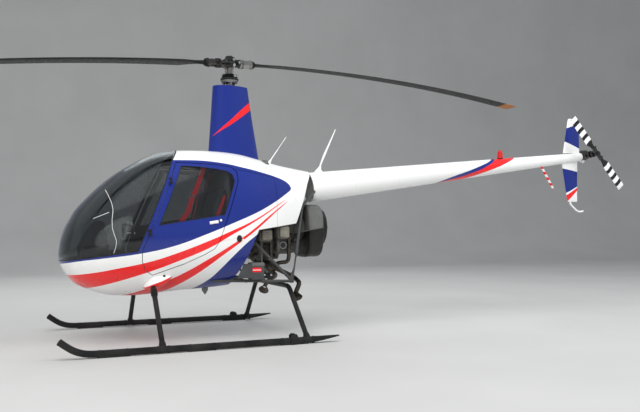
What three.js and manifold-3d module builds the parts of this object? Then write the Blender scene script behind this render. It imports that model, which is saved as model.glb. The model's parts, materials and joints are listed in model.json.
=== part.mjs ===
// A two-seat light helicopter parked on its skids: a hollow cabin with two doors, an open engine bay with a
// cooling fan, a tapered tail boom with fins, a two-blade teetering main rotor and a two-blade tail rotor.
// Millimetres. x runs aft from the rotor mast's axis, y to starboard and z up from the ground.
import * as THREE from "three";
import { mergeVertices } from "three/addons/utils/BufferGeometryUtils.js";
import Module from "manifold-3d";

const wasm = await Module();
wasm.setup();

// Driving dimensions
const ROTOR_RADIUS = 3835;
const ROTOR_CHORD = 183;
const HUB_HEIGHT = 2620; // the blades' root height
const ROTOR_AZIMUTH = THREE.MathUtils.degToRad(9.7); // how far the aft blade is turned to starboard
const TEETER = THREE.MathUtils.degToRad(3.2); // the aft blade rides high, the forward one low
const BLADE_DROOP = 22.5e-6; // sag of a resting blade, per mm of radius squared
const TAIL_ROTOR = { x: 4390, y: -212, z: 1872 };
const TAIL_ROTOR_RADIUS = 533;
const TAIL_BLADE_ANGLE = THREE.MathUtils.degToRad(-48.9); // the aft-pointing blade, below level
const SKID_HALF_TRACK = 940;
const SKID_TUBE_RADIUS = 27;
const SKID_TUBE_HEIGHT = 45;
const SKIN = 24; // thickness of the cabin's walls and doors
const GLASS = 8;
const SEAM = 0.35; // half the gap between panels that meet
const DOOR_GAP = 7;
const SEAT_GAP = 0.3; // between a piece and what carries it

const PAINT = { blue: 0x27349b, white: 0xf2f0ee, red: 0xd8221f, black: 0x17171a };

// Shapes

// A closed solid from a geometry, whose shared corners are merged first.
function solid(geometry) {
  const bare = geometry.clone();
  bare.deleteAttribute("normal");
  bare.deleteAttribute("uv");
  const merged = mergeVertices(bare, 1e-3);
  return new wasm.Manifold(
    new wasm.Mesh({
      numProp: 3,
      vertProperties: new Float32Array(merged.attributes.position.array),
      triVerts: new Uint32Array(merged.index.array),
    }),
  );
}

function geometryOf(body) {
  const mesh = body.getMesh();
  const points = new Float32Array(mesh.numVert * 3);
  for (let i = 0; i < mesh.numVert; i++) {
    points.set(mesh.vertProperties.subarray(i * mesh.numProp, i * mesh.numProp + 3), i * 3);
  }
  const geometry = new THREE.BufferGeometry();
  geometry.setAttribute("position", new THREE.BufferAttribute(points, 3));
  geometry.setIndex(new THREE.BufferAttribute(new Uint32Array(mesh.triVerts), 1));
  geometry.computeVertexNormals();
  return geometry;
}

const join = (bodies) => bodies.reduce((whole, body) => whole.add(body));

// A skin through rings of equally many points, closed at both ends by a fan.
function loft(rings) {
  const count = rings[0].length;
  const points = rings.flat().concat([rings[0], rings.at(-1)].map(centreOf));
  const faces = [];
  for (let i = 0; i + 1 < rings.length; i++) {
    for (let j = 0; j < count; j++) {
      const a = i * count + j;
      const b = i * count + ((j + 1) % count);
      faces.push([a, b, b + count], [a, b + count, a + count]);
    }
  }
  const last = (rings.length - 1) * count;
  for (let j = 0; j < count; j++) {
    const k = (j + 1) % count;
    faces.push([k, j, points.length - 2], [last + j, last + k, points.length - 1]);
  }
  const volume = faces.reduce((sum, [a, b, c]) => {
    const [p, q, r] = [points[a], points[b], points[c]].map((v) => new THREE.Vector3(...v));
    return sum + p.dot(q.cross(r));
  }, 0);
  const index = faces.flatMap(([a, b, c]) => (volume > 0 ? [a, b, c] : [a, c, b]));
  const geometry = new THREE.BufferGeometry();
  geometry.setAttribute("position", new THREE.Float32BufferAttribute(points.flat(), 3));
  geometry.setIndex(index);
  return geometry;
}

function centreOf(ring) {
  return [0, 1, 2].map((k) => ring.reduce((sum, p) => sum + p[k], 0) / ring.length);
}

function box(low, high) {
  const size = high.map((h, i) => h - low[i]);
  return new THREE.BoxGeometry(...size).translate(...low.map((l, i) => l + size[i] / 2));
}

// A straight round bar between two points, which may taper.
function bar(from, to, radius, farRadius = radius, sides = 12) {
  const start = new THREE.Vector3(...from);
  const way = new THREE.Vector3(...to).sub(start);
  const length = way.length();
  const turn = new THREE.Quaternion().setFromUnitVectors(new THREE.Vector3(0, 1, 0), way.normalize());
  const middle = start.addScaledVector(way, length / 2);
  return new THREE.CylinderGeometry(farRadius, radius, length, sides)
    .applyQuaternion(turn)
    .translate(middle.x, middle.y, middle.z);
}

// A bent round bar along points, mitred at each bend.
function bentBar(points, radius, sides = 10) {
  const path = points.map((p) => new THREE.Vector3(...p));
  const ways = path.slice(1).map((p, i) => p.clone().sub(path[i]).normalize());
  const first = new THREE.Quaternion().setFromUnitVectors(new THREE.Vector3(0, 0, 1), ways[0]);
  let ring = [];
  for (let i = 0; i < sides; i++) {
    const angle = (2 * Math.PI * i) / sides;
    const spoke = new THREE.Vector3(radius * Math.cos(angle), radius * Math.sin(angle), 0);
    ring.push(spoke.applyQuaternion(first).add(path[0]));
  }
  const rings = [ring];
  for (let i = 1; i < path.length; i++) {
    const way = ways[i - 1];
    const mitre = way.clone().add(ways[i] ?? way).normalize();
    ring = ring.map((p) => {
      const reach = path[i].clone().sub(p).dot(mitre) / way.dot(mitre);
      return p.clone().addScaledVector(way, reach);
    });
    rings.push(ring);
  }
  return solid(loft(rings.map((r) => r.map((p) => p.toArray()))));
}

// A plate with a side-view outline of [x, z] points, from one y to another.
function sidePlate(outline, yLow, yHigh) {
  const shape = new THREE.Shape(outline.map(([x, z]) => new THREE.Vector2(x, z)));
  return new THREE.ExtrudeGeometry(shape, { depth: yHigh - yLow, bevelEnabled: false })
    .rotateX(Math.PI / 2)
    .translate(0, yHigh, 0);
}

// The same outline moved outwards by a distance, corner by corner.
function grown(outline, distance) {
  const points = outline.map(([x, z]) => new THREE.Vector2(x, z));
  const turn = THREE.ShapeUtils.area(points) > 0 ? 1 : -1;
  return points.map((p, i) => {
    const before = points.at(i - 1);
    const after = points[(i + 1) % points.length];
    const a = p.clone().sub(before).normalize();
    const b = after.clone().sub(p).normalize();
    const normal = new THREE.Vector2(a.y + b.y, -a.x - b.x).normalize().multiplyScalar(turn);
    const reach = distance / Math.max(0.35, normal.dot(new THREE.Vector2(a.y, -a.x).multiplyScalar(turn)));
    return [p.x + normal.x * reach, p.y + normal.y * reach];
  });
}

// The other side's copy of a port piece.
function mirrored(geometry) {
  const bare = geometry.clone().scale(1, -1, 1);
  bare.deleteAttribute("normal");
  bare.deleteAttribute("uv");
  const copy = mergeVertices(bare, 1e-3);
  const index = copy.index.array;
  for (let i = 0; i < index.length; i += 3) [index[i + 1], index[i + 2]] = [index[i + 2], index[i + 1]];
  copy.computeVertexNormals();
  return copy;
}

// A streamlined section, its points [along the chord from the nose, across], for a chord and a thickness.
function streamlined(chord, thickness, steps = 7) {
  const half = [];
  for (let i = 0; i <= steps; i++) {
    const s = (1 - Math.cos((Math.PI * i) / steps)) / 2;
    const shape = 0.2969 * Math.sqrt(s) - 0.126 * s - 0.3516 * s * s + 0.2843 * s ** 3 - 0.0936 * s ** 4;
    half.push([s * chord, 5 * thickness * shape]);
  }
  return [...half, ...half.slice(1, -1).reverse().map(([s, t]) => [s, -t])];
}

// Materials and nodes
const materials = {
  blue: new THREE.MeshStandardMaterial({ color: PAINT.blue, roughness: 0.3 }),
  white: new THREE.MeshStandardMaterial({ color: PAINT.white, roughness: 0.3 }),
  red: new THREE.MeshStandardMaterial({ color: PAINT.red, roughness: 0.4 }),
  glass: new THREE.MeshStandardMaterial({ color: 0x6d7780, roughness: 0.05, transparent: true, opacity: 0.35 }),
  black: new THREE.MeshStandardMaterial({ color: PAINT.black, roughness: 0.45 }),
  blade: new THREE.MeshStandardMaterial({ color: 0x2b2927, roughness: 0.5 }),
  metal: new THREE.MeshStandardMaterial({ color: 0x8d8f92, roughness: 0.35, metalness: 0.8 }),
  frameSteel: new THREE.MeshStandardMaterial({ color: 0x4b4d4e, roughness: 0.5 }),
  engineGrey: new THREE.MeshStandardMaterial({ color: 0x6a665c, roughness: 0.6, metalness: 0.3 }),
  exhaust: new THREE.MeshStandardMaterial({ color: 0x7a736c, roughness: 0.45, metalness: 0.8 }),
  shroud: new THREE.MeshStandardMaterial({ color: 0x2c2e2f, roughness: 0.6 }),
  leather: new THREE.MeshStandardMaterial({ color: 0x2a2b2e, roughness: 0.6 }),
  carpet: new THREE.MeshStandardMaterial({ color: 0x33353a, roughness: 0.95 }),
};

const airframe = new THREE.Group();

function add(name, geometry, material, group = airframe) {
  const mesh = new THREE.Mesh(geometry, materials[material]);
  mesh.name = name;
  group.add(mesh);
}

function addPair(name, geometry, material) {
  add(`${name}_left`, geometry, material);
  add(`${name}_right`, mirrored(geometry), material);
}

// The body's skin

// Cross-sections of the body: x, the heights of belly and crown, the half width and its height, and how
// square the section is above and below that height, where 2 is an ellipse
const BODY = [
  { x: -1563, belly: 765, crown: 845, half: 70, wide: 805, above: 2.0, below: 2.0 },
  { x: -1545, belly: 694, crown: 948, half: 185, wide: 812, above: 2.0, below: 2.0 },
  { x: -1500, belly: 620, crown: 1062, half: 300, wide: 830, above: 2.1, below: 2.1 },
  { x: -1435, belly: 540, crown: 1178, half: 380, wide: 850, above: 2.1, below: 2.1 },
  { x: -1345, belly: 490, crown: 1282, half: 440, wide: 870, above: 2.15, below: 2.15 },
  { x: -1230, belly: 446, crown: 1398, half: 488, wide: 895, above: 2.2, below: 2.2 },
  { x: -1100, belly: 418, crown: 1506, half: 522, wide: 920, above: 2.3, below: 2.2 },
  { x: -950, belly: 411, crown: 1602, half: 546, wide: 945, above: 2.4, below: 2.25 },
  { x: -800, belly: 418, crown: 1682, half: 558, wide: 965, above: 2.45, below: 2.3 },
  { x: -650, belly: 432, crown: 1729, half: 560, wide: 975, above: 2.5, below: 2.3 },
  { x: -500, belly: 444, crown: 1747, half: 560, wide: 985, above: 2.5, below: 2.3 },
  { x: -300, belly: 454, crown: 1752, half: 560, wide: 990, above: 2.5, below: 2.3 },
  { x: -100, belly: 470, crown: 1746, half: 556, wide: 1000, above: 2.5, below: 2.3 },
  { x: 60, belly: 500, crown: 1728, half: 540, wide: 1030, above: 2.5, below: 2.3 },
  { x: 200, belly: 560, crown: 1698, half: 505, wide: 1060, above: 2.5, below: 2.3 },
  { x: 350, belly: 640, crown: 1662, half: 445, wide: 1095, above: 2.4, below: 2.2 },
  { x: 500, belly: 720, crown: 1632, half: 372, wide: 1130, above: 2.3, below: 2.2 },
  { x: 650, belly: 800, crown: 1608, half: 295, wide: 1165, above: 2.2, below: 2.1 },
  { x: 780, belly: 880, crown: 1588, half: 225, wide: 1200, above: 2.1, below: 2.0 },
  { x: 900, belly: 960, crown: 1572, half: 165, wide: 1240, above: 2.0, below: 2.0 },
];
const BODY_POINTS = 32;
const BODY_MIDDLE = -500; // the nose is drawn in towards this station
const NOSE_LENGTH = BODY_MIDDLE - BODY[0].x;

// The body as one solid, drawn in from its outer skin by a distance.
function bodySolid(inset) {
  const rings = BODY.map((s) => {
    const x = s.x < BODY_MIDDLE ? BODY_MIDDLE + (s.x - BODY_MIDDLE) * (1 - inset / NOSE_LENGTH) : s.x;
    const ring = [];
    for (let i = 0; i < BODY_POINTS; i++) {
      const angle = (2 * Math.PI * i) / BODY_POINTS;
      const power = 2 / (Math.sin(angle) >= 0 ? s.above : s.below);
      const height = Math.sin(angle) >= 0 ? s.crown - s.wide : s.wide - s.belly;
      const across = Math.sign(Math.cos(angle)) * Math.abs(Math.cos(angle)) ** power;
      const up = Math.sign(Math.sin(angle)) * Math.abs(Math.sin(angle)) ** power;
      ring.push([x, across * (s.half - inset), s.wide + up * (height - inset)]);
    }
    return ring;
  });
  return solid(loft(rings));
}

const WIDE = 900; // past the body's side, for cutters
const HIGH = 1950;
const across = (outline) => solid(sidePlate(outline, -WIDE, WIDE));
const portSide = (outline) => solid(sidePlate(outline, -WIDE, -20));

// Side-view outlines, as [x, z]. The post is the strip between the windshield and the door.
const POST_FOOT = [-955, 822];
const POST_HEAD = [-634, 1617];
const POST_WIDTH = 34;
const bodyOutline = [
  [-1700, 300], [-60, 300], [-60, 560], [22, 740], [128, 1000], [560, 1060], [725, 1440], [800, 1560],
  [815, HIGH], [-1700, HIGH],
];
const windshieldOutline = [
  [-1700, 722], [-1560, 742], POST_FOOT, POST_HEAD, [-535, 1762], [-500, HIGH], [-1700, HIGH],
];
const doorOutline = [
  [POST_FOOT[0] + POST_WIDTH + DOOR_GAP, POST_FOOT[1]], [-912, 735], [-880, 660], [-820, 616], [-549, 710],
  [-371, 790], [-290, 838], [-250, 900], [-165, 1140], [-58, 1450], [-62, 1530], [-105, 1572], [-250, 1592],
  [POST_HEAD[0] + POST_WIDTH + DOOR_GAP - 6, POST_HEAD[1] - 14],
];
const windowOutline = [
  [-775, 1046], [-200, 1138], [-92, 1440], [-105, 1500], [-150, 1532], [-260, 1552], [-400, 1568],
  [-560, 1572],
];
const roofOutline = [[-720, 1590], [-250, 1580], [-90, 1560], [330, 1490], [330, HIGH], [-720, HIGH]];
const tailCowlOutline = [[330, 900], [900, 900], [900, HIGH], [330, HIGH]];
const sideOutline = [[-330, 880], [330, 1010], [330, 1490], [-90, 1560], [-250, 1580], [-330, 1582]];

function buildBody() {
  const outer = bodySolid(0);
  const wall = outer.subtract(bodySolid(SKIN)).intersect(across(bodyOutline));
  const glassWall = outer.subtract(bodySolid(GLASS));
  const doorHole = portSide(grown(doorOutline, DOOR_GAP));
  const rightDoorHole = solid(mirrored(geometryOf(doorHole)));
  const windshieldHole = across(grown(windshieldOutline, SEAM));
  const roofHole = across(grown(roofOutline, SEAM));
  const cowlHole = across(grown(tailCowlOutline, SEAM));
  const sideHole = across(grown(sideOutline, SEAM));
  const frontPassage = crosstube(FRONT_CROSSTUBE, SEAT_GAP);

  const openWall = wall.subtract(doorHole).subtract(rightDoorHole);
  const tub = openWall
    .subtract(windshieldHole)
    .subtract(roofHole)
    .subtract(cowlHole)
    .subtract(sideHole)
    .add(legBlister())
    .add(solid(mirrored(geometryOf(legBlister()))))
    .subtract(frontPassage)
    .add(join(hinges("post")))
    .add(solid(mirrored(geometryOf(join(hinges("post"))))));
  add("cabin_tub", geometryOf(tub), "white");

  const mastPassage = solid(bar([0, 0, 1500], [0, 0, 1900], 96, 96, 20));
  const roof = openWall
    .intersect(across(grown(roofOutline, -SEAM)))
    .subtract(windshieldHole)
    .subtract(mastPassage);
  add("cabin_roof", geometryOf(roof), "white");
  add("tail_cowl", geometryOf(wall.intersect(across(grown(tailCowlOutline, -SEAM)))), "white");
  addPair("body_side", geometryOf(openWall.intersect(portSide(grown(sideOutline, -SEAM)))), "blue");

  const BOW_HALF = 14;
  const bow = wall
    .intersect(across(grown(windshieldOutline, -SEAM)))
    .intersect(solid(box([-1700, -BOW_HALF, 300], [0, BOW_HALF, HIGH])));
  add("windshield_bow", geometryOf(bow), "blue");
  const pane = glassWall
    .intersect(across(grown(windshieldOutline, -SEAM)))
    .intersect(solid(box([-1700, -WIDE, 300], [0, -BOW_HALF - SEAM, HIGH])));
  addPair("windshield", geometryOf(pane), "glass");

  const doorPanel = wall
    .intersect(portSide(doorOutline))
    .subtract(across(windowOutline))
    .add(join(hinges("door")));
  addPair("door", geometryOf(doorPanel), "blue");
  addPair("door_window", geometryOf(glassWall.intersect(portSide(grown(windowOutline, -SEAM)))), "glass");
}

// Sections of the blister over the port front leg's top: x, the centre, the half width and the half height
const BLISTER = [
  { x: -888, y: -392, z: 506, wide: 10, high: 8 },
  { x: -862, y: -400, z: 522, wide: 78, high: 32 },
  { x: -815, y: -402, z: 543, wide: 116, high: 54 },
  { x: -755, y: -405, z: 556, wide: 108, high: 58 },
  { x: -695, y: -415, z: 576, wide: 80, high: 38 },
  { x: -646, y: -432, z: 597, wide: 10, high: 8 },
];

function legBlister() {
  const POINTS = 16;
  const rings = BLISTER.map(({ x, y, z, wide, high }) => {
    const ring = [];
    for (let i = 0; i < POINTS; i++) {
      const angle = (2 * Math.PI * i) / POINTS;
      ring.push([x, y + wide * Math.cos(angle), z + high * Math.sin(angle)]);
    }
    return ring;
  });
  return solid(loft(rings)).subtract(bodySolid(SKIN - 1));
}

// Door hinges: two knuckles on an axis just outboard of the skin, the port side's points
const HINGE_FOOT = new THREE.Vector3(-864, -577, 967);
const HINGE_HEAD = new THREE.Vector3(-678, -527, 1420);
const KNUCKLE_RADIUS = 8;
const KNUCKLE_LENGTH = 26;

// The knuckles and leaves of one leaf of both hinges: "post" or "door".
function hinges(leaf) {
  const axis = HINGE_HEAD.clone().sub(HINGE_FOOT).normalize();
  const aft = new THREE.Vector3(1, 0, 0).addScaledVector(axis, -axis.x).normalize();
  const inboard = new THREE.Vector3().crossVectors(axis, aft);
  const inward = { foot: 38, head: 52 };
  return Object.entries({ foot: HINGE_FOOT, head: HINGE_HEAD }).flatMap(([place, point]) => {
    const frame = new THREE.Matrix4().makeBasis(aft, inboard, axis).setPosition(point);
    const low = leaf === "door" ? -KNUCKLE_LENGTH / 2 : KNUCKLE_LENGTH / 2 + SEAT_GAP;
    const knuckle = bar([0, 0, low], [0, 0, low + KNUCKLE_LENGTH], KNUCKLE_RADIUS);
    const [near, far] = leaf === "door" ? [-2, 24] : [-26, 2];
    const plate = box([near, -3, low + 2], [far, 3, low + KNUCKLE_LENGTH - 2]);
    const [webNear, webFar] = leaf === "door" ? [14, 24] : [-26, -14];
    const web = box([webNear, -3, low + 2], [webFar, inward[place], low + KNUCKLE_LENGTH - 2]);
    return [knuckle, plate, web].map((g) => solid(g.applyMatrix4(frame)));
  });
}

// The landing gear

// Each cross tube's level run, and where its legs meet the skids
const FRONT_CROSSTUBE = { x: -820, footX: -813, height: 530, bend: 484, radius: 22 };
const AFT_CROSSTUBE = { x: 424, footX: 440, height: 479, bend: 491, radius: 22 };
const LEG_FOOT = SKID_HALF_TRACK - 18;

const SKID_HEEL = 726;
const SKID_TOE = [[-1360, SKID_TUBE_HEIGHT], [-1430, 52], [-1500, 78], [-1560, 118], [-1604, 152]];
const SHOES = [[-1330, -1080], [-620, -380], [180, 430]]; // where the wear shoes start and end
const SHOE_THICKNESS = 6;
const BRACKET_X = 300; // the bracket that takes a ground-handling wheel

// The port skid's tube, grown by a distance.
function skidTube(growth) {
  const path = [[SKID_HEEL, SKID_TUBE_HEIGHT], ...SKID_TOE].map(([x, z]) => [x, -SKID_HALF_TRACK, z]);
  return bentBar(path, SKID_TUBE_RADIUS + growth, 12);
}

function crosstube({ x, footX, height, bend, radius }, clearance = 0) {
  const legs = [-1, 1].map((side) => [[footX, side * LEG_FOOT, SKID_TUBE_HEIGHT], [x, side * bend, height]]);
  const points = [...legs[0], ...legs[1].reverse()];
  const tube = bentBar(points, radius + clearance, 12);
  if (clearance) return tube;
  const port = skidTube(SEAT_GAP);
  return tube.subtract(port).subtract(solid(mirrored(geometryOf(port))));
}

function buildLandingGear() {
  add("crosstube_front", geometryOf(crosstube(FRONT_CROSSTUBE)), "black");
  add("crosstube_aft", geometryOf(crosstube(AFT_CROSSTUBE)), "black");
  const y = -SKID_HALF_TRACK;
  const underside = SKID_TUBE_HEIGHT - SKID_TUBE_RADIUS;
  // The heel's underside rises to a thin tip
  const heelCut = solid(sidePlate(
    [[477, underside + 3], [SKID_HEEL + 10, 65], [SKID_HEEL + 10, underside - 10], [460, underside - 10]],
    y - 60, y + 60));
  const shoes = SHOES.map(([from, to]) =>
    solid(box([from, y - 22, underside - SHOE_THICKNESS], [to, y + 22, underside + 12])));
  const bracket = [
    solid(box([BRACKET_X - 30, y - 36, 20], [BRACKET_X + 30, y - 24, 104])),
    solid(box([BRACKET_X - 30, y + 24, 20], [BRACKET_X + 30, y + 36, 104])),
    solid(bar([BRACKET_X, y - 30, 90], [BRACKET_X, y + 30, 90], 8)),
  ];
  addPair("skid", geometryOf(join([skidTube(0).subtract(heelCut), ...shoes, ...bracket])), "black");
}

// The cabin's inside
const FLOOR_TOP = 578;
const BULKHEAD_THICKNESS = 18;
// [x, z] points of the bulkhead's front
const BULKHEAD_FACE = [[-346, FLOOR_TOP + SEAT_GAP], [-186, 1090], [-142, 1240], [-142, HIGH]];

function buildInterior() {
  const room = bodySolid(SKIN + SEAT_GAP);
  const doorZone = portSide(grown(doorOutline, 2 * DOOR_GAP)).subtract(bodySolid(SKIN + DOOR_GAP));
  const lining = room.subtract(doorZone).subtract(solid(mirrored(geometryOf(doorZone))));
  add(
    "cabin_floor",
    geometryOf(lining.intersect(solid(box([-1480, -WIDE, FLOOR_TOP - 18], [-150, WIDE, FLOOR_TOP])))),
    "carpet",
  );
  const rear = BULKHEAD_FACE.map(([x, z]) => [x + BULKHEAD_THICKNESS, z]).reverse();
  add("bulkhead", geometryOf(lining.intersect(across([...BULKHEAD_FACE, ...rear]))), "carpet");

  const [wallFoot, wallHead] = BULKHEAD_FACE;
  const { mapLinear } = THREE.MathUtils;
  const wallAt = (z) => mapLinear(z, wallFoot[1], wallHead[1], wallFoot[0], wallHead[0]) - 2 * SEAT_GAP;
  const seatRoom = bodySolid(SKIN + 14);
  const foot = FLOOR_TOP + SEAT_GAP;
  const base = [[-760, foot], [wallAt(foot), foot], [wallAt(770), 770], [-800, 800]];
  add("seat_base", geometryOf(seatRoom.intersect(solid(sidePlate(base, -500, 500)))), "carpet");
  const seat = { inner: -30, outer: -465 };
  const cushion = [[-805, 801], [-420, 780], [-400, 862], [-440, 874], [-760, 902], [-805, 880]];
  addPair("seat_cushion", sidePlate(cushion, seat.outer, seat.inner), "leather");
  const back = [
    [wallAt(775) - 104, 779], [wallAt(775), 774], [-188, 1090], [-154, 1212], [-155, 1370], [-200, 1396],
    [-245, 1340],
  ];
  addPair("seat_back", sidePlate(back, seat.outer, seat.inner), "leather");

  const pedestal = [
    [-1400, foot], [-1100, foot], [-1150, 820], [-1190, 1080], [-1250, 1100], [-1330, 1010], [-1400, 860],
  ];
  const consoleBody = seatRoom.intersect(solid(sidePlate(pedestal, -150, 150)));
  add("instrument_console", geometryOf(consoleBody), "black");

  const stick = join([
    bentBar([[-960, 0, foot], [-960, 0, 640], [-1000, 0, 900], [-970, 0, 1060]], 13, 10),
    solid(bar([-970, -300, 1060], [-970, 300, 1060], 11)),
    solid(bar([-970, -300, 1060], [-962, -300, 940], 14)),
    solid(bar([-970, 300, 1060], [-962, 300, 940], 14)),
  ]);
  add("cyclic_stick", geometryOf(stick), "black");
}

// The engine bay, with the frame's joints on the starboard side
const RAIL_FRONT = [-270, 340, 540];
const RAIL_REAR = [516, 340, 512];
const DIAGONAL_TOP = [150, 340, 876];
const POST_TOP = [655, 245, 1223];
const POST_MIDDLE = [562, 330, 782];
const FRAME_TUBE = 14;
const POST_TUBE = 8; // the post's thin lower part
const GEARBOX = { half: 115, low: 1330, high: 1620 };
const FAN = { x: [725, 879], z: 1020, half: 265, low: 729, high: 1250, wheel: 196, inletEnd: 948 };
const FIREWALL_FACE = [[-60, 440], [-60, 560], [22, 740], [128, 1000], [142, 1060]]; // [x, z], its front
const FIREWALL_THICKNESS = 8;

// The rail's height at a station.
function railAt(x) {
  return THREE.MathUtils.mapLinear(x, RAIL_FRONT[0], RAIL_REAR[0], RAIL_FRONT[2], RAIL_REAR[2]);
}

function firewallSolid(growth) {
  const front = FIREWALL_FACE.map(([x, z]) => [x + SEAT_GAP - growth, z]);
  const rear = FIREWALL_FACE.map(([x, z]) => [x + FIREWALL_THICKNESS + growth, z]).reverse();
  return bodySolid(SKIN + SEAT_GAP - growth).intersect(across([...front, ...rear]));
}

function buildEngineBay() {
  add("firewall", geometryOf(firewallSolid(0)), "metal");

  const gearboxCorner = [GEARBOX.half + 8, 96, 1370];
  const boomCorner = [835, 129, 1385];
  const crossing = [62, 340, railAt(62)];
  const runs = [
    [RAIL_FRONT, RAIL_REAR],
    [RAIL_REAR, POST_MIDDLE, POST_TUBE],
    [POST_MIDDLE, POST_TOP],
    [DIAGONAL_TOP, RAIL_REAR],
    [[90, 340, 876], DIAGONAL_TOP],
    [DIAGONAL_TOP, gearboxCorner],
    [POST_TOP, boomCorner],
    [POST_TOP, gearboxCorner],
    [DIAGONAL_TOP, [192, ENGINE.half, 850]],
    [[583, 310, 880], [600, ENGINE.half, 880]],
  ];
  const sides = [([x, y, z]) => [x, -y, z], (p) => p];
  const tubes = sides.flatMap((side) =>
    runs.map(([from, to, radius = FRAME_TUBE]) => bar(side(from), side(to), radius, radius, 8)));
  const corners = sides.flatMap((side) =>
    [RAIL_REAR, POST_MIDDLE, POST_TOP, DIAGONAL_TOP].map((p) =>
      new THREE.IcosahedronGeometry(FRAME_TUBE + 4, 1).translate(...side(p))));
  const crossBars = [POST_TOP, crossing].map(([x, y, z]) =>
    bar([x, -y, z], [x, y, z], FRAME_TUBE, FRAME_TUBE, 8));
  const crankcase = ENGINE.half + SEAT_GAP;
  const neighbours = [
    solid(box([ENGINE.x[0] - 1, -crankcase, 600], [ENGINE.x[1] + 1, crankcase, 1100])),
    solid(box([-200, -200, 1200], [GEARBOX.half + SEAT_GAP, 200, 1700])),
    boomSolid(SEAT_GAP, SEAT_GAP),
    firewallSolid(SEAT_GAP),
    bodySolid(-SEAT_GAP).subtract(bodySolid(SKIN + SEAT_GAP)).intersect(across(grown(bodyOutline, SEAT_GAP))),
  ];
  const frame = join([...tubes, ...corners, ...crossBars].map(solid)).subtract(join(neighbours));
  add("engine_frame", geometryOf(frame), "frameSteel");

  buildEngine();
  buildExhaust();
  const BATTERY = { front: 92, rear: 206, outer: -432, inner: -300, top: 698 };
  const batteryFoot = railAt(BATTERY.front) + FRAME_TUBE + SEAT_GAP;
  const battery = box([BATTERY.front, BATTERY.outer, batteryFoot], [BATTERY.rear, BATTERY.inner, BATTERY.top]);
  add("battery_box", battery, "frameSteel");
  buildFan();
  const gearbox = join([
    solid(box([-GEARBOX.half, -GEARBOX.half, GEARBOX.low], [GEARBOX.half, GEARBOX.half, GEARBOX.high - 60])),
    solid(bar([0, 0, GEARBOX.high - 61], [0, 0, GEARBOX.high], 110, 80, 20)),
  ]);
  add("main_gearbox", geometryOf(gearbox), "engineGrey");
}

const ENGINE = { x: [170, 620], half: 150, z: [730, 1065] };
// A cylinder on each side: its place, and the rocker cover over its end, from and to
const CYLINDERS = [
  { x: 251, z: 951, coverX: [194, 308], coverZ: [897, 1006] },
  { x: 424, z: 977, coverX: [370, 478], coverZ: [918, 1036] },
];
const COVER_Y = [340, 398];
const BARREL_RADIUS = 54;
const FIN_RADIUS = 66;
const FINS = { count: 7, from: 176, step: 24, thickness: 9 };

function cylinder({ x, z, coverX, coverZ }) {
  const barrel = bar([x, ENGINE.half - 10, z], [x, COVER_Y[0] + 5, z], BARREL_RADIUS, BARREL_RADIUS, 14);
  const cover = box([coverX[0], COVER_Y[0], coverZ[0]], [coverX[1], COVER_Y[1], coverZ[1]]);
  const fins = [];
  for (let i = 0; i < FINS.count; i++) {
    const y = FINS.from + FINS.step * i;
    fins.push(bar([x, y, z], [x, y + FINS.thickness, z], FIN_RADIUS, FIN_RADIUS, 14));
  }
  return join([barrel, cover, ...fins].map(solid));
}

function buildEngine() {
  const { x, half, z } = ENGINE;
  const crankcase = solid(box([x[0], -half, z[0]], [x[1], half, z[1]]));
  const starboard = join(CYLINDERS.map(cylinder));
  const port = solid(mirrored(geometryOf(starboard)));
  const sump = solid(box([190, -95, 712], [470, 95, z[0] + 5]));
  add("engine", geometryOf(join([crankcase, starboard, port, sump])), "engineGrey");
}

const MUFFLER = { x: 355, z: 648, radius: 56, half: 230 };
const RISER_TOP = 960;

// The starboard half of the exhaust: a riser from each cylinder to the muffler, and the tail pipe, which
// comes out behind the frame's rear corner and turns down beside it.
function exhaustHalf() {
  const { x, z, half } = MUFFLER;
  const front = [[317, 300, RISER_TOP], [317, 300, 745], [330, 280, 700], [x, half - 5, z + 15]];
  const aft = [
    [497, 300, RISER_TOP], [497, 300, 720], [472, 300, 690], [410, 290, 690], [x, half - 5, z + 10],
  ];
  const tail = [
    [x, half - 20, z], [455, 240, 600], [560, 262, 545], [574, 330, 514], [564, 400, 500], [540, 438, 470],
    [512, 455, 428], [502, 462, 400],
  ];
  const mouth = bar([505, 458, 406], [503, 490, 369], 26, 54, 16);
  return join([bentBar(front, 18, 10), bentBar(aft, 19, 10), bentBar(tail, 22, 12), solid(mouth)]);
}

function buildExhaust() {
  const { x, z, radius, half } = MUFFLER;
  const can = solid(bar([x, -half, z], [x, half, z], radius, radius, 20));
  const starboard = exhaustHalf();
  const port = solid(mirrored(geometryOf(starboard)));
  const reach = FIN_RADIUS + SEAT_GAP;
  const heads = CYLINDERS.map((c) => solid(bar([c.x, -450, c.z], [c.x, 450, c.z], reach, reach, 14)));
  add("exhaust", geometryOf(join([can, starboard, port]).subtract(join(heads))), "exhaust");
}

// The scroll's outline, a squared circle, drawn in by a distance, as a solid from one station to another.
function scrollSolid(inset, from, to) {
  const { half, low, high } = FAN;
  const [POINTS, SQUARENESS] = [36, 3.5];
  const rings = [from, to].map((x) => {
    const ring = [];
    for (let i = 0; i < POINTS; i++) {
      const angle = (2 * Math.PI * i) / POINTS;
      const [c, s] = [Math.cos(angle), Math.sin(angle)];
      const reach = [c, s].map((v) => Math.sign(v) * Math.abs(v) ** (2 / SQUARENESS));
      ring.push([x, (half - inset) * reach[0], (low + high) / 2 + ((high - low) / 2 - inset) * reach[1]]);
    }
    return ring;
  });
  return solid(loft(rings));
}

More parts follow.
